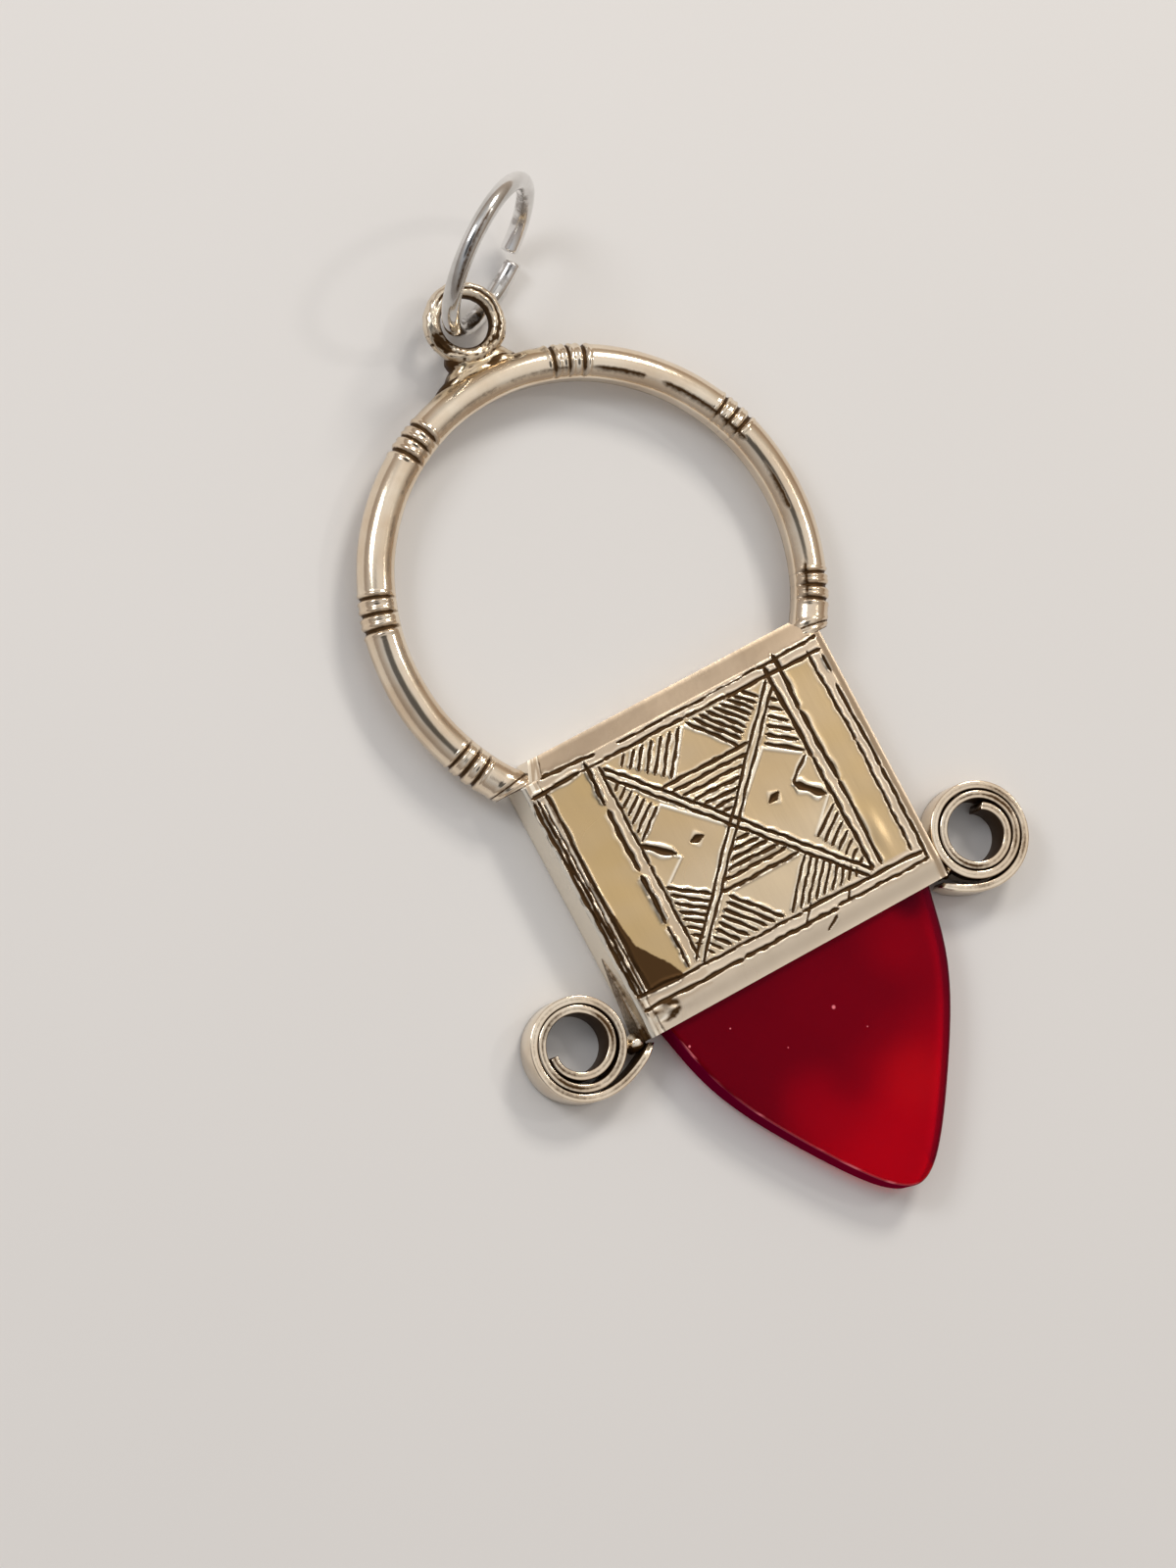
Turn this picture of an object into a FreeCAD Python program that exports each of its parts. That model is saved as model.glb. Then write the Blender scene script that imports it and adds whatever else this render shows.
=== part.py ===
import FreeCAD, Part

import math
import operator
import os
from types import SimpleNamespace

import Sketcher
from FreeCAD import Placement, Rotation, Vector

# A small silver and glass cross pendant lying on its back, in millimetres.
# X runs across it, Y up its length towards the bail, Z out of its engraved front.
# The drawing origin is the centre of the hoop on the plane of the sleeve's back.
# At the end everything moves so that the origin is the middle of the underside.

SIZES = (
    ("sleeve_width", 17.75, "engraved sleeve, side to side"),
    ("sleeve_middle", 0.175, "middle of the sleeve, a little right of the hoop's centre"),
    ("sleeve_depth", 2.6, "sleeve, back to front"),
    ("mouth_y", -20.95, "lower edge of the sleeve, where the stone comes out"),
    ("lip_y", -19.85, "where the front bends back to hold the stone"),
    ("lip_drop", 0.15, "how far the lip bends back"),
    ("shoulder_y", -7.2, "shoulders that the hoop's feet stand on"),
    ("ridge_y", -6.15, "top of the sloping ridge between the feet"),
    ("ridge_drop", 0.55, "how far the ridge slopes back"),
    ("ridge_half_top", 7.75, "half the ridge's length at its top"),
    ("ridge_half_foot", 8.45, "half the ridge's length at the shoulders"),
    ("back_bevel", 0.35, "bevel along the top of the back"),
    ("bevel_left", 0.15, "bevel down the left edge of the front"),
    ("bevel_right", 0.5, "bevel down the right edge of the front"),
    ("bevel_drop", 0.15, "depth of both side bevels"),
    ("sheet_back", 0.3, "thickness of the back sheet"),
    ("sheet_front", 0.45, "thickness of the front sheet, engraving included"),
    ("sheet_side", 0.4, "thickness of the side walls"),
    ("sheet_top", 0.5, "thickness of the top wall"),
    ("stroke_width", 0.17, "width of an engraved line"),
    ("stroke_depth", 0.1, "depth of an engraved line"),
    ("hoop_inner", 10.33, "inside radius of the hoop"),
    ("hoop_outer", 12.15, "outside radius of the hoop"),
    ("hoop_middle", 1.55, "height of the hoop's middle plane"),
    ("hoop_wall_half", 0.5, "half the height of the flat inner wall"),
    ("hoop_facet_radius", 10.75, "where the inner facet meets the domed wire"),
    ("hoop_facet_half", 0.85, "half the hoop's height there"),
    ("hoop_sweep", 270, "arc of the hoop before its feet are cut level, in degrees"),
    ("groove_depth", 0.13, "depth of the filed grooves"),
    ("groove_angle", 1.2, "width of a groove, in degrees round the hoop"),
    ("groove_step", 3.6, "one groove to the next, in degrees"),
    ("groove_wrap", 115, "how far a groove wraps round the wire each way, in degrees"),
    ("groove_facets", 5, "strokes of the file that make a groove"),
    ("bail_middle_x", 0.35, "middle of the bail"),
    ("bail_middle_y", 14.3, "middle of the bail"),
    ("bail_middle_z", 1.8, "middle of the bail"),
    ("bail_hole", 1.17, "radius of the bail's hole"),
    ("bail_outer", 2.15, "outside radius of the bail"),
    ("bail_wire", 0.53, "radial thickness of each of the bail's two turns of wire"),
    ("bail_half_height", 0.46, "half the bail's height"),
    ("seat_half_top", 1.35, "half width of the solder seat at the bail"),
    ("seat_half_foot", 1.9, "half width of the solder seat at the hoop"),
    ("seat_top_y", 13.0, "top of the solder seat"),
    ("seat_foot_y", 11.7, "foot of the solder seat, inside the hoop's wire"),
    ("seat_height", 0.75, "thickness of the solder seat"),
    ("scroll_left_x", -12.1, "middle of the left scroll"),
    ("scroll_right_x", 11.85, "middle of the right scroll"),
    ("scroll_y", -19.7, "middle of both scrolls"),
    ("scroll_outer", 2.6, "outside radius of a scroll"),
    ("scroll_lift", 0.1, "underside of the scrolls above the sleeve's back"),
    ("scroll_half_turns", 5, "half turns of strip in a scroll"),
    ("scroll_short", 25, "how far the last half turn falls short, in degrees"),
    ("strip_thick", 0.44, "thickness of the coiled strip"),
    ("strip_seam", 0.04, "seam between two turns"),
    ("strip_high", 1.8, "width of the strip, which is the scroll's height"),
    ("tail_sag", 1.0, "how far the scroll's lowest point lies below its tail's root"),
    ("tail_tuck", 2.5, "tail's overlap with the sleeve's corner, in degrees"),
    ("tongue_thick", 0.35, "thickness of the strip's pointed end on the side wall"),
    ("tongue_bite", 0.1, "how deep it sits in the wall"),
    ("tongue_long", 4.65, "length of that pointed end"),
    ("tongue_point_z", 1.2, "height of its point"),
    ("stone_middle", 0.22, "middle of the stone"),
    ("stone_back", 0.35, "height of the stone's back face"),
    ("stone_thick", 1.75, "thickness of the stone"),
    ("stone_tang_y", -15.75, "top of the part of the stone that is hidden in the sleeve"),
    ("stone_side_x", 16.2, "centre of a side's curve, past the stone's middle"),
    ("stone_side_y", -15.75, "centre of a side's curve"),
    ("stone_tip_radius", 1.63, "radius of the rounded tip"),
    ("stone_tip_y", -33.65, "tip of the stone"),
    ("stone_bevel", 0.16, "bevel round both faces of the stone"),
    ("ring_radius", 3.95, "jump ring, centre line"),
    ("ring_wire", 0.46, "radius of the jump ring's wire"),
    ("ring_sweep", 354, "arc of the jump ring, which is split, in degrees"),
    ("ring_middle_x", 2.28, "middle of the jump ring"),
    ("ring_middle_y", 16.71, "middle of the jump ring"),
    ("ring_lean", 66.5, "angle between the jump ring's plane and the surface"),
    ("ring_facing", -58.2, "compass direction that the leaning ring faces, from X"),
    ("ring_split", 26, "place of the split round the ring, from its low side, in degrees"),
)

# Middle of each group of three grooves, in degrees from the top of the hoop, positive to the right
GROOVE_GROUPS = {"a": -115.9, "b": -71.6, "c": -26.5, "d": 21.5, "e": 67.6, "f": 116.9}

# Engraved framing lines and the two double bands of the cross: start and end of each, from the hoop's centre
ENGRAVED_LINES = (
    # name,          x start, y start,  x end,  y end
    ("top_outer",      -8.4,    -7.2,    8.8,   -7.4),
    ("top_inner",      -8.4,    -7.9,    8.7,   -8.05),
    ("foot_inner",     -8.5,   -18.95,   8.5,  -19.3),
    ("foot_outer",     -8.5,   -19.55,   8.5,  -19.75),
    ("left_edge",      -8.5,    -8.0,   -8.45, -18.7),
    ("left_second",    -7.75,   -8.0,   -7.8,  -18.7),
    ("left_third",     -5.3,    -7.7,   -5.35, -18.8),
    ("left_fourth",    -4.65,   -8.0,   -4.7,  -18.8),
    ("right_fourth",    5.5,    -7.7,    5.55, -19.1),
    ("right_third",     6.15,   -7.4,    6.15, -19.1),
    ("right_second",    7.9,    -8.0,    7.9,  -19.1),
    ("right_edge",      8.45,   -8.0,    8.45, -19.7),
    ("fall_upper",     -4.4,    -8.1,    5.7,  -18.9),
    ("fall_lower",     -4.65,   -8.6,    5.2,  -19.1),
    ("rise_upper",      5.0,    -8.2,   -5.0,  -18.7),
    ("rise_lower",      5.5,    -8.4,   -4.5,  -18.9),
)

OVERSHOOT = 1  # how far a cutting shape runs past what it cuts
LEAST_CUT = 0.01  # a cut that takes away less than this volume has missed


def step(symbol, work):
    """One arithmetic operation on two measures, on the number and on the formula alike."""
    def worked(left, right):
        right = measure(right)
        return Measure(work(left.number, right.number), "(%s %s %s)" % (left.formula, symbol, right.formula))
    return worked


class Measure:
    """A size: its number now, and the formula that ties it to the sheet's cells."""

    def __init__(self, number, formula):
        self.number = number
        self.formula = formula

    __add__ = step("+", operator.add)
    __sub__ = step("-", operator.sub)
    __mul__ = step("*", operator.mul)
    __truediv__ = step("/", operator.truediv)

    def __neg__(self):
        return self * -1

    def __float__(self):
        return float(self.number)


def measure(value):
    return value if isinstance(value, Measure) else Measure(value, "(%s)" % value)


os.makedirs("parts", exist_ok=True)
doc = FreeCAD.newDocument("tuareg_cross_pendant")
sheet = doc.addObject("Spreadsheet::Sheet", "size")
for row, (alias, number, meaning) in enumerate(SIZES, start=1):
    sheet.set("A%d" % row, meaning)
    sheet.set("B%d" % row, str(number))
    sheet.setAlias("B%d" % row, alias)
doc.recompute()

at = SimpleNamespace(**{alias: Measure(float(sheet.get(alias)), "size." + alias) for alias, _, _ in SIZES})
cuts_made = []  # pairs of objects, before and after a cut


def bind(thing, **measures):
    """Ties properties of a document object to the sheet; two underscores stand for a dot."""
    for name, value in measures.items():
        thing.setExpression(name.replace("__", "."), measure(value).formula)


def new_body(name):
    return doc.addObject("PartDesign::Body", name)


def new_sketch(body, plane, name):
    """A sketch on one of the body's own origin planes."""
    sketch = body.newObject("Sketcher::SketchObject", name)
    face = next(f for f in body.Origin.OriginFeatures if f.Role == plane)
    sketch.AttachmentSupport = [(face, "")]
    sketch.MapMode = "FlatFace"
    return sketch


def feature(body, kind, name, sketch, **measures):
    """A pad, pocket or revolution made from a sketch, in both directions from its plane."""
    made = body.newObject("PartDesign::" + kind, name)
    made.Profile = sketch
    made.Midplane = True
    if kind == "Revolution":
        made.ReferenceAxis = (sketch, ["V_Axis"])
    if kind == "Pocket":
        made.Type = "ThroughAll"
        cuts_made.append((made.BaseFeature, made))
    bind(made, **measures)
    return made


def hold(sketch, datum, formula):
    sketch.setExpression("Constraints[%d]" % sketch.addConstraint(datum), formula)


def pin(sketch, geometry, point, x=None, y=None):
    """Holds a sketch point at the place that one or two measures give."""
    for kind, axis, value in (("DistanceX", -2, x), ("DistanceY", -1, y)):
        if value is None:
            continue
        if float(value) == 0:
            sketch.addConstraint(Sketcher.Constraint("PointOnObject", geometry, point, axis))
        else:
            hold(sketch, Sketcher.Constraint(kind, -1, 1, geometry, point, float(value)), value.formula)


def join(sketch, first, second, first_point=2, second_point=1):
    sketch.addConstraint(Sketcher.Constraint("Coincident", first, first_point, second, second_point))


def draw_line(sketch, start, end):
    """A straight line between two pairs of measures or numbers."""
    return sketch.addGeometry(Part.LineSegment(*(Vector(float(x), float(y), 0) for x, y in (start, end))))


def draw_arc(sketch, *spots):
    """An arc through three pairs of measures or numbers; it runs anticlockwise."""
    return sketch.addGeometry(Part.Arc(*(Vector(float(x), float(y), 0) for x, y in spots)))


def outline(sketch, corners):
    """A closed outline of straight lines through corners given as pairs of measures."""
    lines = [draw_line(sketch, a, b) for a, b in zip(corners, corners[1:] + corners[:1])]
    for first, second in zip(lines, lines[1:] + lines[:1]):
        join(sketch, first, second)
    for line, (x, y) in zip(lines, corners):
        pin(sketch, line, 1, x, y)


def mirrored(corners):
    """The same corners on the other side of the sketch's upright axis."""
    return tuple((-x, y) for x, y in corners)


def fused(name, pieces):
    fusion = doc.addObject("Part::MultiFuse", name)
    fusion.Shapes = pieces
    return fusion


def cut(name, base, tool):
    result = doc.addObject("Part::Cut", name)
    result.Base = base
    result.Tool = tool
    cuts_made.append((base, result))
    return result


def bound_box(name, low, high):
    """A box between two corners given as triples of measures."""
    block = doc.addObject("Part::Box", name)
    x, y, z = low
    length, width, height = (measure(b) - a for a, b in zip(low, high))
    bind(block, Length=length, Width=width, Height=height,
         Placement__Base__x=x, Placement__Base__y=y, Placement__Base__z=z)
    return block


def dome_centre():
    """Centre of the circle through the hoop's outermost point and its facet's two edges."""
    outer, facet, half = at.hoop_outer, at.hoop_facet_radius, at.hoop_facet_half
    return (outer * outer - facet * facet - half * half) / ((outer - facet) * 2)


def make_hoop():
    """Wire bow with a flat inner wall, a narrow facet and a domed outside, its feet cut level."""
    body = new_body("hoop_wire")
    section = new_sketch(body, "XZ_Plane", "hoop_section")
    wall_top = (at.hoop_inner, at.hoop_wall_half)
    wall_foot = (at.hoop_inner, -at.hoop_wall_half)
    facet_top = (at.hoop_facet_radius, at.hoop_facet_half)
    facet_foot = (at.hoop_facet_radius, -at.hoop_facet_half)
    upper = draw_line(section, wall_top, facet_top)
    dome = draw_arc(section, facet_foot, (at.hoop_outer, 0), facet_top)
    lower = draw_line(section, facet_foot, wall_foot)
    bore = draw_line(section, wall_foot, wall_top)
    join(section, upper, dome, 2, 2)
    join(section, dome, lower, 1, 1)
    join(section, lower, bore)
    join(section, bore, upper)
    pin(section, upper, 1, *wall_top)
    pin(section, upper, 2, *facet_top)
    pin(section, lower, 1, *facet_foot)
    pin(section, lower, 2, *wall_foot)
    pin(section, dome, 3, dome_centre())
    feature(body, "Revolution", "hoop_turn", section, Angle=at.hoop_sweep)
    body.Placement = Placement(Vector(), Rotation(Vector(0, 0, 1), 90))
    bind(body, Placement__Base__z=at.hoop_middle)
    below_feet = bound_box("below_feet", (-at.hoop_outer * 2, at.shoulder_y - at.hoop_outer, -at.sleeve_depth),
                           (at.hoop_outer * 2, at.shoulder_y, at.sleeve_depth * 2))
    hoop = cut("hoop_on_feet", body, below_feet)
    grooves = make_grooves()
    doc.recompute()
    # A cut object loses these thin slices, so the filed hoop is worked out as a shape
    filed = doc.addObject("Part::Feature", "filed_hoop")
    filed.Shape = hoop.Shape.cut([groove.Shape for groove in grooves])
    cuts_made.append((hoop, filed))
    return filed


def make_grooves():
    """Filed grooves, three to a group: each is a thin slice of a faceted skin round the domed wire."""
    centre = float(dome_centre())
    facets = int(at.groove_facets.number)
    wrap = math.radians(float(at.groove_wrap))
    floor = (float(at.hoop_outer) - centre - float(at.groove_depth)) / math.cos(wrap / facets)
    turns = [wrap * (2 * n / facets - 1) for n in range(facets + 1)]
    corners = [(centre + radius * math.cos(turn), radius * math.sin(turn))
               for radius, order in ((floor, turns), (1.5 * floor, turns[::-1])) for turn in order]
    skin = doc.addObject("Sketcher::SketchObject", "groove_skin")
    skin.Placement = Placement(Vector(), Rotation(Vector(1, 0, 0), 90))
    for start, end in zip(corners, corners[1:] + corners[:1]):
        draw_line(skin, start, end)
    grooves = []
    for letter, group in GROOVE_GROUPS.items():
        for place in (-1, 0, 1):
            groove = doc.addObject("Part::Revolution", "groove_%s_%d" % (letter, place + 2))
            groove.Source = skin
            groove.Axis = Vector(0, 0, 1)
            groove.Solid = True
            bearing = 90 - group - place * float(at.groove_step) - float(at.groove_angle) / 2
            groove.Placement = Placement(Vector(), Rotation(Vector(0, 0, 1), bearing))
            bind(groove, Angle=at.groove_angle, Placement__Base__z=at.hoop_middle)
            grooves.append(groove)
    return grooves


def make_sleeve():
    """Sheet silver sleeve, open at its lower edge, with a sloping ridge on top and bevelled edges."""
    body = new_body("sleeve_block")
    side = new_sketch(body, "YZ_Plane", "sleeve_side")
    outline(side, ((at.mouth_y, measure(0)),
                   (at.mouth_y, at.sleeve_depth - at.lip_drop),
                   (at.lip_y, at.sleeve_depth),
                   (at.shoulder_y, at.sleeve_depth),
                   (at.ridge_y, at.sleeve_depth - at.ridge_drop),
                   (at.ridge_y, at.back_bevel),
                   (at.ridge_y - at.back_bevel, measure(0))))
    feature(body, "Pad", "sleeve_pad", side, Length=at.sleeve_width)

    notches = new_sketch(body, "XY_Plane", "shoulder_notches")
    beside = (at.sleeve_width, at.shoulder_y)
    above = at.ridge_y + OVERSHOOT
    corner = (beside, (at.ridge_half_foot, at.shoulder_y), (at.ridge_half_top, at.ridge_y),
              (at.ridge_half_top, above), (at.sleeve_width, above))
    outline(notches, corner)
    outline(notches, mirrored(corner))
    feature(body, "Pocket", "shoulder_cut", notches)

    bevels = new_sketch(body, "XZ_Plane", "edge_bevels")
    half, top = at.sleeve_width / 2, at.sleeve_depth
    low = top - at.bevel_drop
    for width, flip in ((at.bevel_right, tuple), (at.bevel_left, mirrored)):
        outline(bevels, flip(((half + OVERSHOOT, low), (half, low), (half - width, top),
                              (half - width, top + OVERSHOOT), (half + OVERSHOOT, top + OVERSHOOT))))
    feature(body, "Pocket", "edge_bevel_cut", bevels)
    bind(body, Placement__Base__x=at.sleeve_middle)

    inside = at.sleeve_width / 2 - at.sheet_side
    cavity = bound_box("sleeve_cavity", (at.sleeve_middle - inside, at.mouth_y - OVERSHOOT, at.sheet_back),
                       (at.sleeve_middle + inside, at.ridge_y - at.sheet_top, at.sleeve_depth - at.sheet_front))
    return cut("engraved_sleeve", cut("hollow_sleeve", body, cavity), make_engraving())


def make_engraving():
    """The framing lines and the cross, as thin bars sunk into the front."""
    bars = []
    for name, x_start, y_start, x_end, y_end in ENGRAVED_LINES:
        bar = doc.addObject("Part::Box", "line_" + name)
        bar.Length = math.hypot(x_end - x_start, y_end - y_start)
        bind(bar, Width=at.stroke_width, Height=at.stroke_depth * 2)
        turn = Rotation(Vector(0, 0, 1), math.degrees(math.atan2(y_end - y_start, x_end - x_start)))
        start = Vector(x_start, y_start, float(at.sleeve_depth - at.stroke_depth))
        bar.Placement = Placement(start - turn.multVec(Vector(0, float(at.stroke_width) / 2, 0)), turn)
        bars.append(bar)
    return fused("engraving", bars)


def make_wire_turn(name, middle):
    """One closed turn of flattened wire about the bail's axis."""
    body = new_body(name)
    section = new_sketch(body, "XZ_Plane", name + "_section")
    radius = at.bail_wire / 2
    rise = at.bail_half_height - radius
    inside, outside = middle - radius, middle + radius
    top = draw_arc(section, (outside, rise), (middle, rise + radius), (inside, rise))
    left = draw_line(section, (inside, rise), (inside, -rise))
    foot = draw_arc(section, (inside, -rise), (middle, -rise - radius), (outside, -rise))
    right = draw_line(section, (outside, -rise), (outside, rise))
    for first, second in ((top, left), (left, foot), (foot, right), (right, top)):
        join(section, first, second)
    pin(section, top, 3, middle, rise)
    pin(section, foot, 3, middle, -rise)
    pin(section, left, 1, inside, rise)
    pin(section, right, 1, outside, -rise)
    feature(body, "Revolution", name + "_turn", section).Angle = 360
    bind(body, Placement__Base__x=at.bail_middle_x, Placement__Base__y=at.bail_middle_y,
         Placement__Base__z=at.bail_middle_z)
    return body


def make_bail():
    """Bail of two turns of wire, one inside the other, on a trapezoid seat of solder."""
    inner = make_wire_turn("bail_inner_turn", at.bail_hole + at.bail_wire / 2)
    outer = make_wire_turn("bail_outer_turn", at.bail_outer - at.bail_wire / 2)
    body = new_body("bail_seat")
    trapezoid = new_sketch(body, "XY_Plane", "seat_outline")
    half = ((at.seat_half_foot, at.seat_foot_y), (at.seat_half_top, at.seat_top_y))
    outline(trapezoid, half + mirrored(half)[::-1])
    feature(body, "Pad", "seat_pad", trapezoid, Length=at.seat_height)
    bind(body, Placement__Base__x=at.bail_middle_x,
         Placement__Base__z=(at.bail_middle_z + at.hoop_middle) / 2)
    return [inner, outer, body]


def scroll_arcs(run):
    """Arcs of a scroll's middle line: height of the centre, radius, first and last angle of each."""
    sag = float(at.tail_sag)
    tail_radius = (run ** 2 + sag ** 2) / (2 * sag)
    pitch = float(at.strip_thick + at.strip_seam)
    first_radius = float(at.scroll_outer - at.strip_thick / 2)
    tail_start = 270 - math.degrees(math.asin(run / tail_radius)) - float(at.tail_tuck)
    arcs = [(tail_radius - first_radius, tail_radius, tail_start, 270)]
    for half_turn in range(int(at.scroll_half_turns.number)):
        start = 270 + 180 * half_turn
        arcs.append((pitch / 2 * (half_turn % 2), first_radius - half_turn * pitch / 2, start, start + 180))
    height, radius, start, end = arcs.pop()
    return arcs + [(height, radius, start, end - float(at.scroll_short))]


def make_scroll(side, hand):
    """Coiled strip whose tail tucks under the sleeve's corner; hand is 1 on the right and -1 on the left."""
    middle_x = {"left": at.scroll_left_x, "right": at.scroll_right_x}[side]
    corner_x = at.sleeve_middle + at.sleeve_width / 2 * hand
    arcs = scroll_arcs(abs(float(middle_x - corner_x)))

    def spot(arc, angle, offset):
        height, radius = arc[0], arc[1] + offset
        turn = math.radians(angle)
        return hand * radius * math.cos(turn), height + radius * math.sin(turn)

    body = new_body("scroll_" + side)
    sketch = new_sketch(body, "XY_Plane", "scroll_outline_" + side)
    half = float(at.strip_thick) / 2
    for offset in (half, -half):
        for arc in arcs:
            draw_arc(sketch, *(spot(arc, angle, offset) for angle in (arc[2], (arc[2] + arc[3]) / 2, arc[3])))
    for arc, angle in ((arcs[0], arcs[0][2]), (arcs[-1], arcs[-1][3])):
        draw_line(sketch, spot(arc, angle, half), spot(arc, angle, -half))
    feature(body, "Pad", "scroll_pad_" + side, sketch, Length=at.strip_high)
    bind(body, Placement__Base__x=middle_x, Placement__Base__y=at.scroll_y,
         Placement__Base__z=at.scroll_lift + at.strip_high / 2)
    return body


def make_tongue(side, hand):
    """The strip's other end, beaten to a point and soldered up the side of the sleeve."""
    body = new_body("tongue_" + side)
    leaf = new_sketch(body, "YZ_Plane", "tongue_outline_" + side)
    outline(leaf, ((at.mouth_y, at.scroll_lift),
                   (at.mouth_y + at.tongue_long, at.tongue_point_z),
                   (at.mouth_y, at.scroll_lift + at.strip_high)))
    thickness = at.tongue_thick + at.tongue_bite
    feature(body, "Pad", "tongue_pad_" + side, leaf, Length=thickness)
    outward = at.sleeve_width / 2 - at.tongue_bite + thickness / 2
    bind(body, Placement__Base__x=at.sleeve_middle + outward * hand)
    return body


def make_stone():
    """Flat glass shield: two long curved sides that meet in a rounded tip, its upper part hidden in the sleeve."""
    body = new_body("glass_stone")
    shield = new_sketch(body, "XY_Plane", "stone_outline")
    tip_radius = float(at.stone_tip_radius)
    tip_height = float(at.stone_tip_y) + tip_radius
    side_x, side_y, tang = float(at.stone_side_x), float(at.stone_side_y), float(at.stone_tang_y)
    to_tip = math.hypot(side_x, side_y - tip_height)
    side_radius = to_tip + tip_radius
    # The sides touch the tip's circle on the line through both centres
    meet = (tip_radius * side_x / to_tip, tip_height - tip_radius * (side_y - tip_height) / to_tip)
    half = math.sqrt(side_radius ** 2 - (tang - side_y) ** 2) - side_x
    halfway = math.radians(-22)
    bulge = (side_radius * math.cos(halfway) - side_x, side_y + side_radius * math.sin(halfway))

    top = draw_line(shield, (half, tang), (-half, tang))
    left = draw_arc(shield, (-half, tang), (-bulge[0], bulge[1]), (-meet[0], meet[1]))
    tip = draw_arc(shield, (-meet[0], meet[1]), (0, float(at.stone_tip_y)), meet)
    right = draw_arc(shield, meet, bulge, (half, tang))
    join(shield, top, left)
    join(shield, right, top)
    shield.addConstraint(Sketcher.Constraint("Tangent", left, 2, tip, 1))
    shield.addConstraint(Sketcher.Constraint("Tangent", tip, 2, right, 1))
    pin(shield, left, 3, at.stone_side_x, at.stone_side_y)
    pin(shield, right, 3, -at.stone_side_x, at.stone_side_y)
    pin(shield, tip, 3, measure(0), at.stone_tip_y + at.stone_tip_radius)
    hold(shield, Sketcher.Constraint("Radius", tip, tip_radius), at.stone_tip_radius.formula)
    pin(shield, top, 1, y=at.stone_tang_y)
    pin(shield, top, 2, y=at.stone_tang_y)
    pad = feature(body, "Pad", "stone_pad", shield, Length=at.stone_thick)
    doc.recompute()
    faces = ["Face%d" % n for n, face in enumerate(pad.Shape.Faces, start=1)
             if abs(face.normalAt(0, 0).z) > 0.99]
    bevel = body.newObject("PartDesign::Chamfer", "stone_bevel")
    bevel.Base = (pad, faces)
    bind(bevel, Size=at.stone_bevel)
    bind(body, Placement__Base__x=at.stone_middle, Placement__Base__z=at.stone_back + at.stone_thick / 2)
    return body


def make_jump_ring():
    """Split ring of round wire, threaded through the bail, one side on the surface and leaning on the bail."""
    body = new_body("jump_ring")
    section = new_sketch(body, "XZ_Plane", "ring_section")
    circle = Part.Circle(Vector(float(at.ring_radius), 0, 0), Vector(0, 0, 1), float(at.ring_wire))
    wire = section.addGeometry(circle)
    pin(section, wire, 3, at.ring_radius, measure(0))
    hold(section, Sketcher.Constraint("Radius", wire, float(at.ring_wire)), at.ring_wire.formula)
    feature(body, "Revolution", "ring_turn", section, Angle=at.ring_sweep)
    # The gap is opposite the section, so half a turn and the split's place bring it round; then lean and face
    split = Rotation(Vector(0, 0, 1), 180 + float(at.ring_split))
    lean = Rotation(Vector(0, 1, 0), float(at.ring_lean))
    facing = Rotation(Vector(0, 0, 1), float(at.ring_facing))
    height = float(at.ring_radius) * math.sin(math.radians(float(at.ring_lean))) + float(at.ring_wire)
    middle = Vector(float(at.ring_middle_x), float(at.ring_middle_y), height)
    body.Placement = Placement(middle, facing * lean * split)
    return body


def check(pieces):
    """Stops if any object failed to recompute, a cut missed or a piece has a broken shape."""
    for thing in doc.Objects:
        if "Invalid" in thing.State or "Error" in thing.State:
            raise RuntimeError("%s did not recompute: %s" % (thing.Name, thing.State))
    for before, after in cuts_made:
        if before.Shape.Volume - after.Shape.Volume < LEAST_CUT:
            raise RuntimeError("%s cuts nothing away" % after.Name)
    for piece in pieces:
        if piece.Shape.isNull() or not piece.Shape.isValid():
            raise RuntimeError("%s has no valid shape" % piece.Label)


metal = [make_hoop(), make_sleeve()] + make_bail()
for side, hand in (("left", -1), ("right", 1)):
    metal += [make_scroll(side, hand), make_tongue(side, hand)]
pieces = (fused("silver_frame", metal), make_stone(), make_jump_ring())
for piece in pieces:
    piece.Label = piece.Name
doc.recompute()
check(pieces)

# Everything moves so that the origin is the middle of the underside of the whole pendant
whole = FreeCAD.BoundBox()
for piece in pieces:
    whole.add(piece.Shape.optimalBoundingBox(False))
to_origin = Vector(-whole.Center.x, -whole.Center.y, -whole.ZMin)
for piece in pieces:
    for axis in "xyz":
        piece.setExpression("Placement.Base." + axis, None)
    piece.Placement = Placement(to_origin, Rotation()) * piece.Placement
doc.recompute()
check(pieces)

for piece in pieces:
    solids = len(piece.Shape.Solids)
    box = piece.Shape.optimalBoundingBox(False)
    print("%s: %d solid, %.1f mm3, from (%.2f, %.2f, %.2f) to (%.2f, %.2f, %.2f)" % (
        piece.Label, solids, piece.Shape.Volume, box.XMin, box.YMin, box.ZMin, box.XMax, box.YMax, box.ZMax))
    piece.Shape.exportStep(os.path.join("parts", piece.Label + ".step"))
print("moved by (%.3f, %.3f, %.3f)" % tuple(to_origin))
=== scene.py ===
import math

import bpy
import numpy as np
from mathutils import Matrix, Vector


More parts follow.
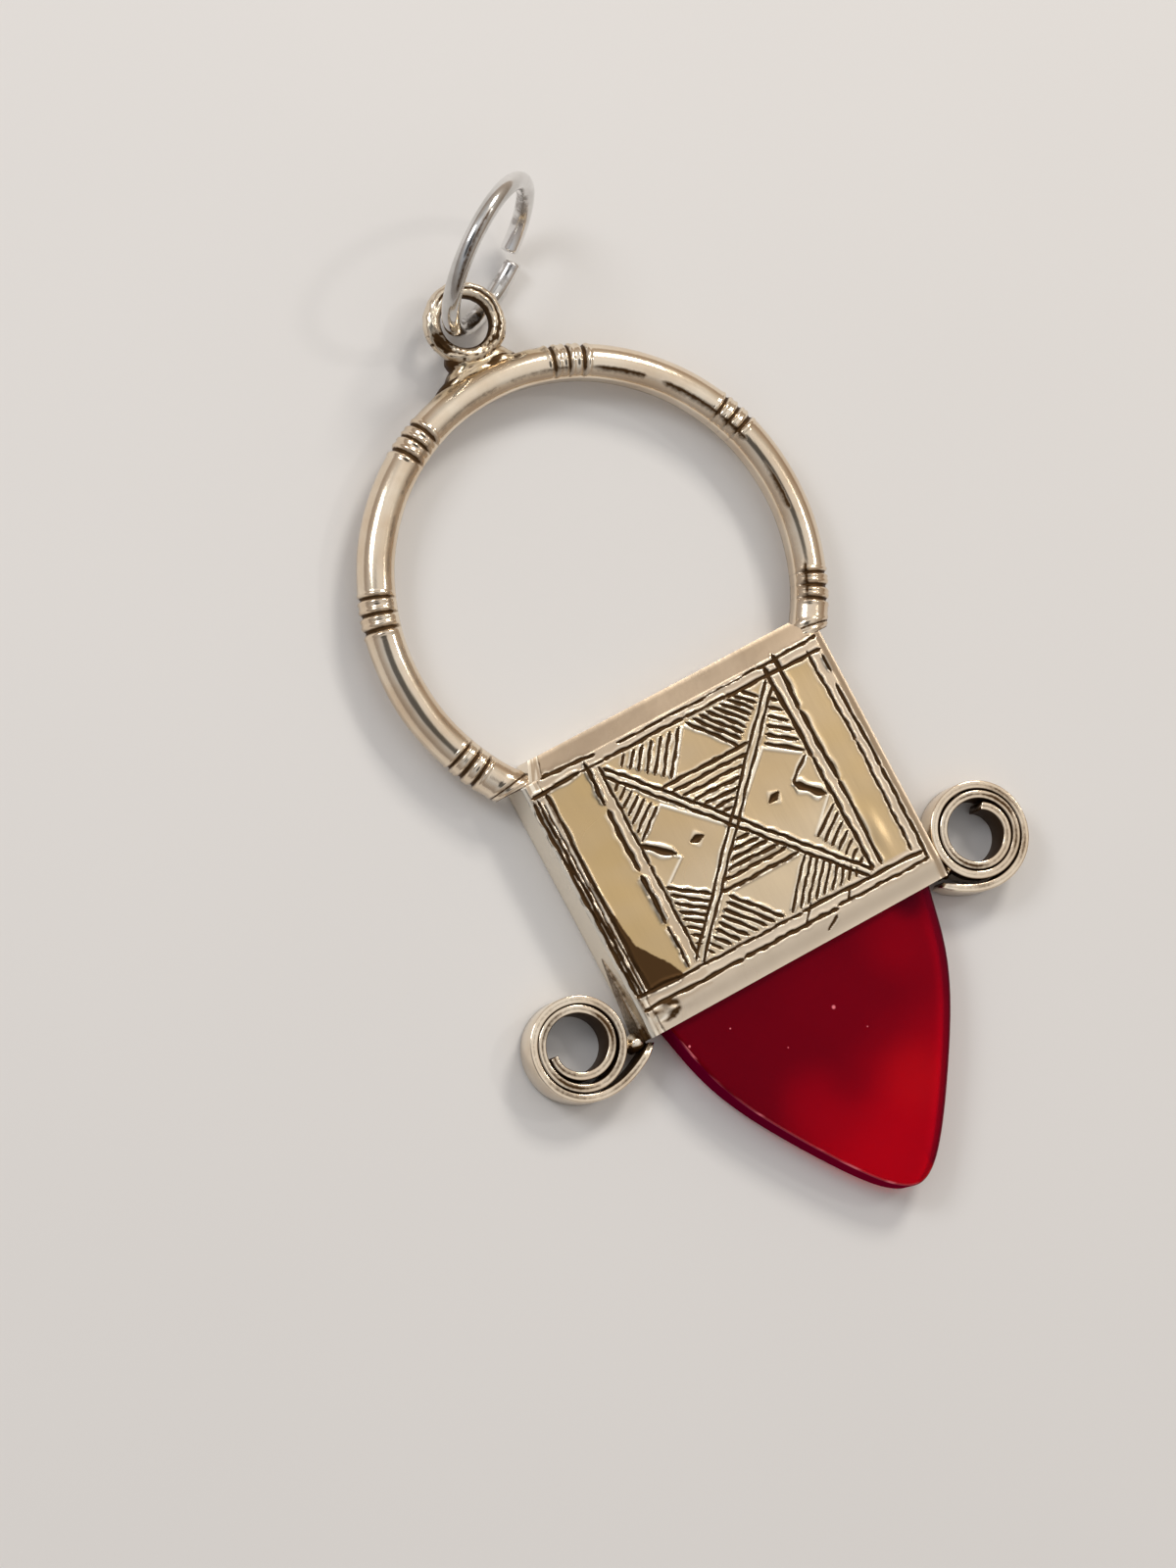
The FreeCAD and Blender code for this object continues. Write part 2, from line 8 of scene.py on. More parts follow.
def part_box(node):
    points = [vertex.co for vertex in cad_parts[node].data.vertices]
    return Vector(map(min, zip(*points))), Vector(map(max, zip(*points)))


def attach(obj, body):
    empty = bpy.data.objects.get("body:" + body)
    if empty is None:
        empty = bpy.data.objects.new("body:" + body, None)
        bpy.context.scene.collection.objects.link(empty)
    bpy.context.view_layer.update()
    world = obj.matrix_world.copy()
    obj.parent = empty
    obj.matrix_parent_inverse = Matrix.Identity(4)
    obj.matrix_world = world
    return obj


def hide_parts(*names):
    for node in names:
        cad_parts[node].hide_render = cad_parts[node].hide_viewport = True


# The silver and glass cross pendant, lying on its back on a pale table.
# Lengths are in millimetres from the centre of the hoop, on the plane of the sleeve's back, as the pendant
# was drawn; add_piece() turns them into metres in the frame. X is across, Y towards the bail, Z out of the
# front.

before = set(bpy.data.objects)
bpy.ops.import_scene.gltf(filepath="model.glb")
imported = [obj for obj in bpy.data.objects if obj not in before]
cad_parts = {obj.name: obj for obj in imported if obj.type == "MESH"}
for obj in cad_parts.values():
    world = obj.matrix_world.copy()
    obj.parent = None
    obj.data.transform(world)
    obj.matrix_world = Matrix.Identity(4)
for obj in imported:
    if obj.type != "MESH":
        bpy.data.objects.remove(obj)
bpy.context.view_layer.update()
MM = 0.001

# Sleeve, and how far its ridge and its lip fall below the flat
MIDDLE = 0.175
HALF_WIDTH = 8.875
DEPTH = 2.6
MOUTH_Y, LIP_Y, SHOULDER_Y, RIDGE_Y = -20.95, -19.85, -7.2, -6.15
LEFT_X, RIGHT_X = MIDDLE - HALF_WIDTH, MIDDLE + HALF_WIDTH
RIDGE_DROP, LIP_DROP = 0.55, 0.15
# Half the ridge's width at its foot, and how much narrower its top is; between the field's sides the
# engraved front keeps its columns upright
RIDGE_HALF_WIDTH, RIDGE_MITRE = 8.45, 0.7
FIELD_LEFT, FIELD_RIGHT = -5.5, 6.35
# Its mouth: how far in from the sides, how deep, and its floor and roof
MOUTH_INSET, MOUTH_DEEP, MOUTH_FLOOR, MOUTH_ROOF = 0.4, 4.5, 0.3, 2.15
# Hoop: radius of its inner wall, middle line and outside, its height, and the last turn of its round part
HOOP_INNER, HOOP_MIDDLE, HOOP_OUTER, HOOP_Z, HOOP_LAST = 10.33, 11.19, 12.15, 1.55, 122.0
GROOVE_DEPTH, GROOVE_RIM = 0.12, 0.05
# Scrolls: the solids' own outer corner, then each coil's middle, its hand, and the radius of its outside as
# it winds in, by the angle after its lowest point
CORNER = (-14.7, -22.3)
SCROLLS = {
    "left": ((-11.98, -19.48), -1, (
        (-64, 4.0), (-50, 3.55), (-30, 3.2), (0, 2.98), (45, 2.8), (90, 2.58), (180, 2.34), (270, 2.48),
        (360, 2.5), (450, 2.14), (540, 1.91), (630, 1.95), (720, 1.84), (800, 1.72), (812, 1.62))),
    "right": ((11.72, -19.75), 1, (
        (-62, 3.5), (-45, 3.18), (-30, 3.05), (0, 2.93), (45, 2.84), (90, 2.7), (180, 2.5), (270, 2.44),
        (360, 2.42), (450, 2.27), (540, 1.98), (630, 1.96), (720, 1.95), (790, 1.84), (835, 1.66),
        (862, 1.5))),
}
STRIP_THICK, STRIP_HIGH, STRIP_LOW, TONGUE_LONG = 0.42, 1.8, 0.1, 4.6
# Bail: its middle, radius and height, and the width, height and rounding of its wire
BAIL_X, BAIL_Y, BAIL_RADIUS, BAIL_Z = 0.3, 14.4, 1.68, 1.78
BAIL_WIRE = (0.84, 0.94, 0.41)
# Stone
STONE_X, STONE_BACK, STONE_FRONT, STONE_BEVEL, STONE_TIP_Y = 0.22, 0.35, 2.1, 0.2, -33.645
# Jump ring: radius, wire radius, angle of its split and half the gap there; lean and facing; place
RING_RADIUS, RING_WIRE, RING_SPLIT, RING_GAP = 3.935, 0.455, 26, 3
RING_LEAN, RING_FACING, RING_X, RING_Y = math.radians(66.5), math.radians(-58.2), 2.28, 16.71

frame_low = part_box("silver_frame")[0]
HOOP_CENTRE = Vector((frame_low.x - CORNER[0] * MM, frame_low.y - CORNER[1] * MM, 0.0))


def smooth(low, high, value):
    """0 at low, 1 at high and an S curve between them."""
    t = np.clip((np.asarray(value, float) - low) / (high - low), 0, 1)
    return t * t * (3 - 2 * t)


def ripple(x, y, size, seed):
    """Gentle unevenness between about -1 and 1, whose waves are about size long."""
    rng = np.random.default_rng(seed)
    total = np.zeros(np.broadcast(x, y).shape)
    for _ in range(7):
        turn, phase = rng.uniform(0, 2 * math.pi, 2)
        wave = 2 * math.pi / (size * rng.uniform(0.7, 1.8))
        total = total + np.sin(wave * (x * math.cos(turn) + y * math.sin(turn)) + phase)
    return total / 3.5


def between(value, start, full, fade, end):
    """0 outside start and end, 1 from full to fade."""
    return smooth(start, full, value) * (1 - smooth(fade, end, value))


def grid_faces(rows, columns, ring=False):
    """Quads of a grid of points whose columns close into a loop, and with ring, its rows as well."""
    r, c = np.meshgrid(np.arange(rows if ring else rows - 1), np.arange(columns), indexing="ij")
    here, below, beside = r * columns, (r + 1) % rows * columns, (c + 1) % columns
    return np.stack([here + c, here + beside, below + beside, below + c], -1).reshape(-1, 4).tolist()


def closed_skin(rows, columns, flip=False):
    """Faces of a tube of points, capped at both ends; flip turns them inside out."""
    faces = grid_faces(rows, columns)
    faces += [list(range(columns))[::-1], [(rows - 1) * columns + c for c in range(columns)]]
    return [face[::-1] for face in faces] if flip else faces


def add_piece(name, points, faces, material, node=None, darkening=None, gold=None, crease=None,
              rub_and_highlight=None):
    """A mesh piece; its three layers say how dark (dirt, patina and painted shade), how golden and how light
    (rubbed silver and painted highlights) each point is, and crease is the angle past which an edge stays
    sharp."""
    places = np.asarray(points).reshape(-1, 3) * MM + np.array(HOOP_CENTRE)
    mesh = bpy.data.meshes.new(name)
    mesh.from_pydata(places.tolist(), [], faces)
    mesh.validate()
    mesh.update()
    for polygon in mesh.polygons:
        polygon.use_smooth = True
    if crease:
        mesh.set_sharp_from_angle(angle=math.radians(crease))
    for key, values in (("patina_and_shade", darkening), ("gold", gold), ("rub_and_highlight", rub_and_highlight)):
        layer = mesh.attributes.new(key, "FLOAT", "POINT")
        if values is not None:
            layer.data.foreach_set("value", np.asarray(values, float).ravel())
    piece = bpy.data.objects.new(name, mesh)
    bpy.context.scene.collection.objects.link(piece)
    mesh.materials.append(material)
    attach(piece, "root")
    if node:
        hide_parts(node)
    return piece


def tube(name, centres, sides, ups, section, size, material, darkening, node=None):
    """A section swept along a line: each of its points goes sideways and upwards from the line."""
    shape = section[None, :, :1] * sides[:, None] + section[None, :, 1:] * ups[:, None]
    points = centres[:, None] + shape * size[:, None, None]
    return add_piece(name, points, closed_skin(*points.shape[:2]), material, node, darkening)


def rounded_section(width, height, radius, corner_points, hollow=None):
    """A rectangle with rounded corners, as sideways and upward places; hollow dips its top and underside."""
    spots = []
    for x_sign, y_sign, start in ((1, 1, 0), (-1, 1, 90), (-1, -1, 180), (1, -1, 270)):
        for turn in np.radians(np.linspace(start, start + 90, corner_points)):
            spots.append((x_sign * (width / 2 - radius) + radius * math.cos(turn),
                          y_sign * (height / 2 - radius) + radius * math.sin(turn)))
        if hollow and x_sign == y_sign:
            spots.append((0.0, y_sign * (height / 2 - hollow)))
    return np.array(spots)


# Materials: the colours of dirt and painted shade, of gilt, and of rubbed silver and painted highlights; of
# the glass from painted shade to painted light, of its painted-shade sides and of its chips
DIRT_AND_SHADE, GILT, RUBBED_AND_HIGHLIGHT = (0.07, 0.034, 0.01), (0.58, 0.42, 0.215), (1.0, 0.92, 0.78)
PAINTED_SHADE_RED, PAINTED_LIGHT_RED, CLOUDY_RED = (0.32, 0.0, 0.006), (0.88, 0.0, 0.008), (0.6, 0.0, 0.01)
PAINTED_SHADE_EDGE_RED, CHIP_PINK = (0.13, 0.0, 0.022), (0.85, 0.22, 0.26)
# Painted light and shade on the glass: it goes from its painted shade to its painted light between these
# heights in metres, which slope across it
GLASS_SHADE_Y, GLASS_LIGHT_Y, GLASS_SLOPE = -0.0182, -0.0242, -0.3
# Bubbles and specks in it: x, y and radius
BUBBLES = ((0.5, -23.95, 0.14), (-7.1, -22.2, 0.09), (-4.8, -22.4, 0.06), (1.6, -25.6, 0.05),
           (-2.6, -24.6, 0.05))
# Painted light and shade in it: brighter glows, darker patches and a painted shadow by the sleeve's lip; x,
# y, how far they reach, how strong they are, and their colour
PAINTED_GLOWS_AND_SHADOWS = ((5.6, -22.6, 3.4, 0.5, (0.78, 0.0, 0.01)), (2.6, -28.9, 2.7, 0.55, (1.0, 0.01, 0.012)),
         (-2.7, -27.6, 2.6, 0.45, (0.9, 0.0, 0.01)), (-0.6, -27.6, 1.5, 0.35, (0.35, 0.0, 0.006)),
         (6.7, -21.0, 1.5, 0.8, (0.06, 0.0, 0.004)))
BUMP_HEIGHT = 0.00002


def new_material(name):
    material = bpy.data.materials.new(name)
    material.use_nodes = True
    tree = material.node_tree
    return material, tree, tree.nodes["Principled BSDF"]


def add_node(tree, kind, **settings):
    """A shader node with these properties and input values."""
    node = tree.nodes.new("ShaderNode" + kind)
    for key, value in settings.items():
        if hasattr(node, key):
            setattr(node, key, value)
        else:
            node.inputs[key].default_value = value
    return node


def plug(tree, socket, value):
    """Links a socket to another one, or gives it a plain value."""
    if isinstance(value, bpy.types.NodeSocket):
        tree.links.new(value, socket)
    else:
        socket.default_value = (*value, 1) if socket.type == "RGBA" else value


def compute(tree, operation, *values):
    """A Math node over sockets and numbers."""
    node = add_node(tree, "Math", operation=operation)
    for socket, value in zip(node.inputs, values):
        plug(tree, socket, value)
    return node.outputs[0]


def compute_vector(tree, operation, first, second):
    """A Vector Math node over two vectors, or over a vector and the number that scales it."""
    node = add_node(tree, "VectorMath", operation=operation)
    plug(tree, node.inputs[0], first)
    plug(tree, node.inputs["Scale" if operation == "SCALE" else 1], second)
    return node.outputs["Value" if operation in ("DISTANCE", "DOT_PRODUCT") else "Vector"]


def map_range(tree, value, low, high, to_low=0.0, to_high=1.0, curve="SMOOTHSTEP"):
    node = add_node(tree, "MapRange", interpolation_type=curve)
    for key, number in (("Value", value), ("From Min", low), ("From Max", high), ("To Min", to_low),
                        ("To Max", to_high)):
        plug(tree, node.inputs[key], number)
    return node.outputs["Result"]


def noise_at(tree, places, scale, detail, rough=0.55, stretch=(1, 1, 1)):
    """A noise pattern with this many features a metre, stretched along the axes."""
    mapping = add_node(tree, "Mapping", Scale=stretch)
    tree.links.new(places, mapping.inputs["Vector"])
    noise = add_node(tree, "TexNoise", Scale=scale, Detail=detail, Roughness=rough)
    tree.links.new(mapping.outputs["Vector"], noise.inputs["Vector"])
    return noise.outputs["Fac"]


def ramp(tree, source, *stops):
    """A colour ramp through (place, colour) stops."""
    node = add_node(tree, "ValToRGB")
    elements = node.color_ramp.elements
    while len(elements) < len(stops):
        elements.new(0.5)
    for element, (place, colour) in zip(elements, stops):
        element.position = place
        element.color = (*colour, 1)
    tree.links.new(source, node.inputs["Fac"])
    return node.outputs["Color"]


def mix(tree, kind, amount, first, second):
    """Mixes two colours or numbers, each a socket or a value."""
    node = add_node(tree, "Mix", data_type="RGBA" if kind == "colour" else "FLOAT")
    low, high = (6, 7) if kind == "colour" else (2, 3)
    for index, value in ((0, amount), (low, first), (high, second)):
        plug(tree, node.inputs[index], value)
    return node.outputs[2 if kind == "colour" else 0]


def grey(value):
    return (value, value, value)


def painted(tree, name):
    """What add_piece() gave each point of the mesh under this name."""
    return add_node(tree, "Attribute", attribute_name=name).outputs["Fac"]


def add_bump(tree, shader, height, strength):
    bump = add_node(tree, "Bump", Strength=strength, Distance=BUMP_HEIGHT)
    tree.links.new(height, bump.inputs["Height"])
    tree.links.new(bump.outputs["Normal"], shader.inputs["Normal"])


def make_silver(name, light, shade, roughness, scratch=0.5):
    """Worn silver, mottled and finely scratched; where a piece is marked it is darkened (dirt, patina,
    painted shade), golden, or lightened (rubbing, painted highlights).
    """
    material, tree, shader = new_material(name)
    places = add_node(tree, "TexCoord").outputs["Object"]
    tone = ramp(tree, noise_at(tree, places, 330, 4), (0.38, grey(0)), (0.68, grey(1)))
    metal = mix(tree, "colour", tone, light, shade)
    metal = mix(tree, "colour", painted(tree, "gold"), metal, GILT)
    # Lightened where marked: rubbed silver, and painted highlights and painted reflection
    metal = mix(tree, "colour", painted(tree, "rub_and_highlight"), metal, RUBBED_AND_HIGHLIGHT)
    # Darkened where marked: dirt and patina, and painted shade and painted dark reflections
    speck = compute(tree, "MULTIPLY_ADD", noise_at(tree, places, 6000, 2), 0.5, -0.25)
    grime_and_shade = compute(tree, "ADD", painted(tree, "patina_and_shade"), speck)
    grime_and_shade = ramp(tree, grime_and_shade, (0.22, grey(0)), (0.7, grey(1)))
    worn = ramp(tree, noise_at(tree, places, 120, 2), (0.3, grey(roughness * 0.8)),
                (0.7, grey(roughness * 1.2)))
    plug(tree, shader.inputs["Base Color"], mix(tree, "colour", grime_and_shade, metal, DIRT_AND_SHADE))
    plug(tree, shader.inputs["Metallic"], mix(tree, "number", grime_and_shade, 1.0, 0.85))
    plug(tree, shader.inputs["Roughness"], mix(tree, "number", grime_and_shade, worn, 0.55))
    add_bump(tree, shader, noise_at(tree, places, 1600, 4, 0.6, (1, 0.12, 1)), scratch)
    return material


def spot_at(tree, places, x, y, inner, outer):
    """1 within inner of a place on the stone's front and 0 beyond outer."""
    spot = Vector((x, y, STONE_FRONT)) * MM + HOOP_CENTRE
    return map_range(tree, compute_vector(tree, "DISTANCE", places, spot), outer * MM, inner * MM)


def make_glass(name, sheen, clear):
    """Red glass with ground, satin faces, given painted shade near the sleeve, painted light towards the
    tip, and painted glows and shadows.
    """
    material, tree, shader = new_material(name)
    places = add_node(tree, "TexCoord").outputs["Object"]
    split = add_node(tree, "SeparateXYZ")
    tree.links.new(places, split.inputs[0])
    # Painted shade near the sleeve, brightening to painted light towards the lower right
    slant = compute(tree, "MULTIPLY_ADD", split.outputs["X"], GLASS_SLOPE, split.outputs["Y"])
    colour = mix(tree, "colour", map_range(tree, slant, GLASS_SHADE_Y, GLASS_LIGHT_Y), PAINTED_SHADE_RED, PAINTED_LIGHT_RED)
    cloud = ramp(tree, noise_at(tree, places, 110, 2), (0.3, grey(0.0)), (0.7, grey(1.0)))
    colour = mix(tree, "colour", mix(tree, "number", cloud, 0.0, 0.3), colour, CLOUDY_RED)
    # Painted glows and shadows
    for x, y, reach, share, tone in PAINTED_GLOWS_AND_SHADOWS:
        amount = mix(tree, "number", spot_at(tree, places, x, y, 0.2 * reach, reach), 0.0, share)
        colour = mix(tree, "colour", amount, colour, tone)
    # Painted shade on the stone's sides: marked points go to a dark red
    colour = mix(tree, "colour", painted(tree, "patina_and_shade"), colour, PAINTED_SHADE_EDGE_RED)
    chips_bubbles_and_rim = painted(tree, "gold")
    for x, y, size in BUBBLES:
        chips_bubbles_and_rim = compute(tree, "MAXIMUM", chips_bubbles_and_rim, spot_at(tree, places, x, y, 0.4 * size, size))
    ground = ramp(tree, noise_at(tree, places, 300, 3), (0.3, grey(0.16)), (0.7, grey(0.26)))
    plug(tree, shader.inputs["Base Color"], mix(tree, "colour", chips_bubbles_and_rim, colour, CHIP_PINK))
    plug(tree, shader.inputs["Transmission Weight"], mix(tree, "number", chips_bubbles_and_rim, clear, 0.1 * clear))
    plug(tree, shader.inputs["Roughness"], ground)
    shader.inputs["IOR"].default_value = 1.48
    shader.inputs["Specular IOR Level"].default_value = sheen
    shader.inputs["Specular Tint"].default_value = (1.0, 0.06, 0.2, 1)
    add_bump(tree, shader, noise_at(tree, places, 2500, 3), 0.2)
    return material


PLATE_SILVER = make_silver("plate_silver", (0.635, 0.52, 0.40), (0.565, 0.455, 0.34), 0.31)
WIRE_SILVER = make_silver("wire_silver", (0.87, 0.76, 0.61), (0.74, 0.59, 0.43), 0.15)
BAIL_SILVER = make_silver("bail_silver", (0.80, 0.70, 0.56), (0.60, 0.48, 0.34), 0.25)
RING_SILVER = make_silver("ring_silver", (0.86, 0.85, 0.84), (0.56, 0.55, 0.53), 0.13, 0.2)
RED_GLASS = make_glass("red_glass", 0.25, 0.72)
# An opaque, darker copy of the glass for the stone's side wall, a painted shade
GLASS_PAINTED_SHADE_EDGE = make_glass("red_glass_painted_shade_edge", 0.0, 0.0)


# Engraving: every stroke is a row of x start, y start, x end, y end, width, depth

FRAMING = (
    (-7.75, -7.16, -4.5, -7.38, 0.17, 0.08),
    (-3.3, -7.42, 1.95, -7.46, 0.12, 0.06),
    (1.9, -7.45, 4.3, -7.42, 0.07, 0.03),
    (4.2, -7.4, 5.1, -7.4, 0.12, 0.06),
    (5.0, -7.46, 8.75, -7.34, 0.15, 0.07),
    (-8.5, -7.9, -5.6, -7.83, 0.17, 0.08),
    (-5.6, -7.85, -4.2, -7.88, 0.1, 0.05),
    (-4.3, -7.86, 0.5, -7.84, 0.16, 0.08),
    (0.5, -7.84, 3.0, -7.92, 0.13, 0.06),
    (2.9, -7.92, 8.6, -8.03, 0.18, 0.08),
    (-8.5, -8.1, -8.44, -18.85, 0.16, 0.09),
    (-8.26, -8.1, -8.2, -18.85, 0.13, 0.08),
    (-8.05, -8.4, -7.98, -18.8, 0.07, 0.04),
    (-7.68, -8.0, -7.76, -18.85, 0.15, 0.08),
    (-5.22, -7.5, -5.28, -9.85, 0.17, 0.09),
    (-5.3, -10.1, -5.32, -13.5, 0.21, 0.09),
    (-5.32, -13.7, -5.36, -16.35, 0.2, 0.09),
    (-5.36, -16.5, -5.34, -18.8, 0.12, 0.06),
    (-4.66, -8.0, -4.68, -13.5, 0.13, 0.07),
    (-4.68, -13.5, -4.66, -18.6, 0.14, 0.07),
    (5.44, -7.5, 5.52, -12.6, 0.2, 0.09),
    (5.5, -12.6, 5.6, -18.9, 0.17, 0.09),
    (6.2, -7.1, 6.08, -10.2, 0.2, 0.1),
    (6.08, -10.2, 6.18, -14.2, 0.2, 0.09),
    (6.18, -14.2, 6.12, -18.9, 0.16, 0.08),
    (7.84, -7.8, 7.98, -12.9, 0.14, 0.07),
    (7.98, -12.9, 7.86, -19.0, 0.13, 0.07),
    (8.5, -8.3, 8.5, -9.3, 0.12, 0.06),
    (8.44, -9.9, 8.5, -14.6, 0.15, 0.07),
    (8.5, -14.6, 8.46, -19.7, 0.16, 0.07),
    (-8.5, -18.88, -5.9, -18.98, 0.18, 0.08),
    (-6.0, -18.98, 1.2, -19.1, 0.13, 0.07),
    (1.2, -19.05, 8.45, -19.28, 0.17, 0.08),
    (-8.5, -19.6, -2.6, -19.7, 0.17, 0.08),
    (-2.6, -19.68, 3.0, -19.74, 0.18, 0.08),
    (3.0, -19.66, 8.5, -19.75, 0.14, 0.07),
)

# The cross: the middle line of each double band
FALLING = ((-4.62, -8.3), (5.42, -19.05))
RISING = ((-4.78, -18.8), (5.38, -8.25))
BAND_HALF = 0.19

# Hatching: first stroke, last stroke, how many, width
HATCHES = (
    (((-3.15, -8.05), (-3.6, -8.6)), ((0.05, -8.12), (-1.6, -10.25)), 7, 0.15),
    (((0.45, -8.1), (2.35, -10.35)), ((3.75, -8.05), (4.5, -8.7)), 9, 0.17),
    (((-4.5, -9.5), (-4.1, -9.15)), ((-4.5, -12.25), (-2.9, -11.1)), 7, 0.13),
    (((-4.5, -14.8), (-2.55, -16.15)), ((-4.5, -17.85), (-4.2, -18.1)), 8, 0.16),
    (((4.95, -8.95), (5.3, -9.3)), ((3.6, -10.85), (5.3, -12.1)), 6, 0.17),
    (((3.75, -16.2), (5.35, -15.1)), ((5.05, -18.35), (5.4, -18.1)), 7, 0.14),
    (((-1.8, -16.6), (0.25, -18.85)), ((-4.1, -18.45), (-3.85, -18.8)), 9, 0.16),
    (((2.75, -16.6), (0.7, -18.9)), ((4.85, -18.45), (4.6, -18.85)), 9, 0.13),
)
LEVEL_HATCHES = (
    ("above", (-10.42, -10.82, -11.25, -11.68, -12.1, -12.5, -12.85)),
    ("below", (-14.4, -14.76, -15.12, -15.5, -15.88, -16.35)),
)
CUTS = (
    (-4.62, -12.4, -3.2, -13.6, 0.26, 0.09),
    (5.25, -12.3, 3.95, -13.25, 0.14, 0.05),
    (3.95, -13.3, 5.25, -14.5, 0.3, 0.08),
    (-2.25, -13.38, -1.5, -13.45, 0.3, 0.1),
    (2.4, -13.58, 3.05, -13.28, 0.3, 0.1),
    (2.0, -20.5, 2.8, -20.05, 0.12, 0.05),
    (1.05, -19.75, 1.8, -18.85, 0.1, 0.03),
    (3.55, -19.7, 4.0, -19.2, 0.12, 0.05),
    (-1.3, -10.38, 2.3, -10.4, 0.1, 0.05),
)
# Raised borders of the plain shapes, each with a painted highlight along it
RIDGES = (
    (-2.75, -11.1, -0.35, -13.35), (-2.75, -11.1, -4.4, -12.3), (-4.45, -12.75, -3.05, -13.85),
    (-3.05, -13.85, -4.4, -14.8), (-4.4, -14.8, -2.55, -16.0), (0.75, -13.35, 3.4, -11.0),
    (3.5, -11.1, 5.1, -12.15), (5.25, -12.4, 3.9, -13.3), (3.9, -13.35, 5.25, -14.5),
    (5.3, -14.6, 3.75, -16.05), (-1.45, -10.3, 0.15, -8.25), (2.3, -10.3, 0.3, -8.25),
    (-1.4, -16.5, 2.4, -16.5),
)
# Blackened corner of the left panel: how far right it reaches, by height
STAIN_X = (-5.75, -6.35, -6.8, -7.3, -7.5, -7.62, -7.75)
STAIN_Y = (-18.9, -17.8, -17.3, -16.5, -15.0, -13.9, -13.0)
# How golden the upright bands of the field are: where each begins, is full, fades and ends, and its share
GOLD_BANDS = ((-7.75, -7.6, -5.3, -5.2, 0.95), (-5.3, -5.2, -4.7, -4.6, 0.2), (-4.7, -4.6, 5.4, 5.5, 0.7),
              (5.4, 5.5, 6.1, 6.2, 0.2), (6.1, 6.2, 7.8, 7.95, 0.8))
MIDDLE_BAND = GOLD_BANDS[2][:4]


def band_x(band, y):
    (x_start, y_start), (x_end, y_end) = band
    return x_start + (y - y_start) * (x_end - x_start) / (y_end - y_start)


def all_strokes():
    """Every engraved stroke of the front as x start, y start, x end, y end, width, depth."""
    strokes = list(FRAMING) + list(CUTS)
    for (start, end), width in ((FALLING, 0.15), (RISING, 0.13)):
        run = np.subtract(end, start)
        side = np.array([-run[1], run[0]]) / np.hypot(*run) * BAND_HALF
        for sign in (-1, 1):
            a, b = np.add(start, sign * side), np.add(end, sign * side)
            strokes.append((*a, *b, width, 0.08))
    for first, last, count, width in HATCHES:
        for share in np.linspace(0, 1, count):
            start, end = (np.add(np.multiply(a, 1 - share), np.multiply(b, share))
                          for a, b in zip(first, last))
            strokes.append((*start, *end, width, 0.075))
    for place, heights in LEVEL_HATCHES:
        left, right = (FALLING, RISING) if place == "above" else (RISING, FALLING)
        for y in heights:
            strokes.append((band_x(left, y) + 0.38, y, band_x(right, y) - 0.38, y - 0.03, 0.16, 0.075))
    return strokes


def engrave(xs, ys):
    """Height, darkness and brightness that the engraving gives the front at columns xs and rows ys; the
    brightness is painted highlight along the burrs and raised borders.
    """
    rng = np.random.default_rng(7)
    cut = np.zeros((len(ys), len(xs)))
    rim = np.zeros_like(cut)
    patina_and_shade = np.zeros_like(cut)
    rub_and_highlight = np.zeros_like(cut)
    for x0, y0, x1, y1, width, depth in all_strokes():
        margin = width + 0.2
        c0, c1 = np.searchsorted(xs, (min(x0, x1) - margin, max(x0, x1) + margin))
        r0, r1 = np.searchsorted(-ys, (-max(y0, y1) - margin, -min(y0, y1) + margin))
        x, y = np.meshgrid(xs[c0:c1], ys[r0:r1])
        length = math.hypot(x1 - x0, y1 - y0)
        ux, uy = (x1 - x0) / length, (y1 - y0) / length
        along = (x - x0) * ux + (y - y0) * uy
        wave, phase = rng.uniform(1.2, 3.2), rng.uniform(0, 6.28, 3)
        sway = 0.022 * np.sin(along * wave + phase[0]) + 0.012 * np.sin(along * wave * 3.1 + phase[1])
        across = np.abs((x - x0) * -uy + (y - y0) * ux + sway)
        beyond = np.maximum(np.maximum(-along, along - length), 0)
        nib = np.clip(np.minimum(along, length - along) / (1.6 * width) + 0.35, 0.15, 1)
        half = 0.57 * width * nib * (1 + 0.16 * np.sin(along * wave * 2.3 + phase[2]))
        off = np.hypot(across, beyond) / half
        part = (slice(r0, r1), slice(c0, c1))
        cut[part] = np.maximum(cut[part], depth * nib * np.clip(1 - off ** 2, 0, 1))
        # The small cuts and the long framing lines raise less of a burr than the hatching
        burr = 0.2 if length < 1 or length > 3 and min(abs(x1 - x0), abs(y1 - y0)) < 0.6 else 0.6
        beside = np.exp(-((off - 1.6) / 0.6) ** 2)
        rim[part] = np.maximum(rim[part], burr * depth * beside)
        # Painted highlight along the burr beside each cut
        rub_and_highlight[part] = np.maximum(rub_and_highlight[part], (0.3 + burr) * nib * beside)
        patina_and_shade[part] = np.maximum(patina_and_shade[part], 1 - smooth(0.8, 1.3, off))
    x, y = np.meshgrid(xs, ys)
    for x0, y0, x1, y1 in RIDGES:
        length = math.hypot(x1 - x0, y1 - y0)
        along = ((x - x0) * (x1 - x0) + (y - y0) * (y1 - y0)) / length
        across = ((y - y0) * (x1 - x0) - (x - x0) * (y1 - y0)) / length
        beyond = np.maximum(np.maximum(-along, along - length), 0)
        line = np.exp(-(np.hypot(across, beyond) / 0.065) ** 2)
        # Painted highlight along each raised border
        rim, rub_and_highlight = np.maximum(rim, 0.05 * line), np.maximum(rub_and_highlight, line)
    return np.where(patina_and_shade > 0.5, -cut, rim * (1 - patina_and_shade) - cut), patina_and_shade, rub_and_highlight


# Sleeve


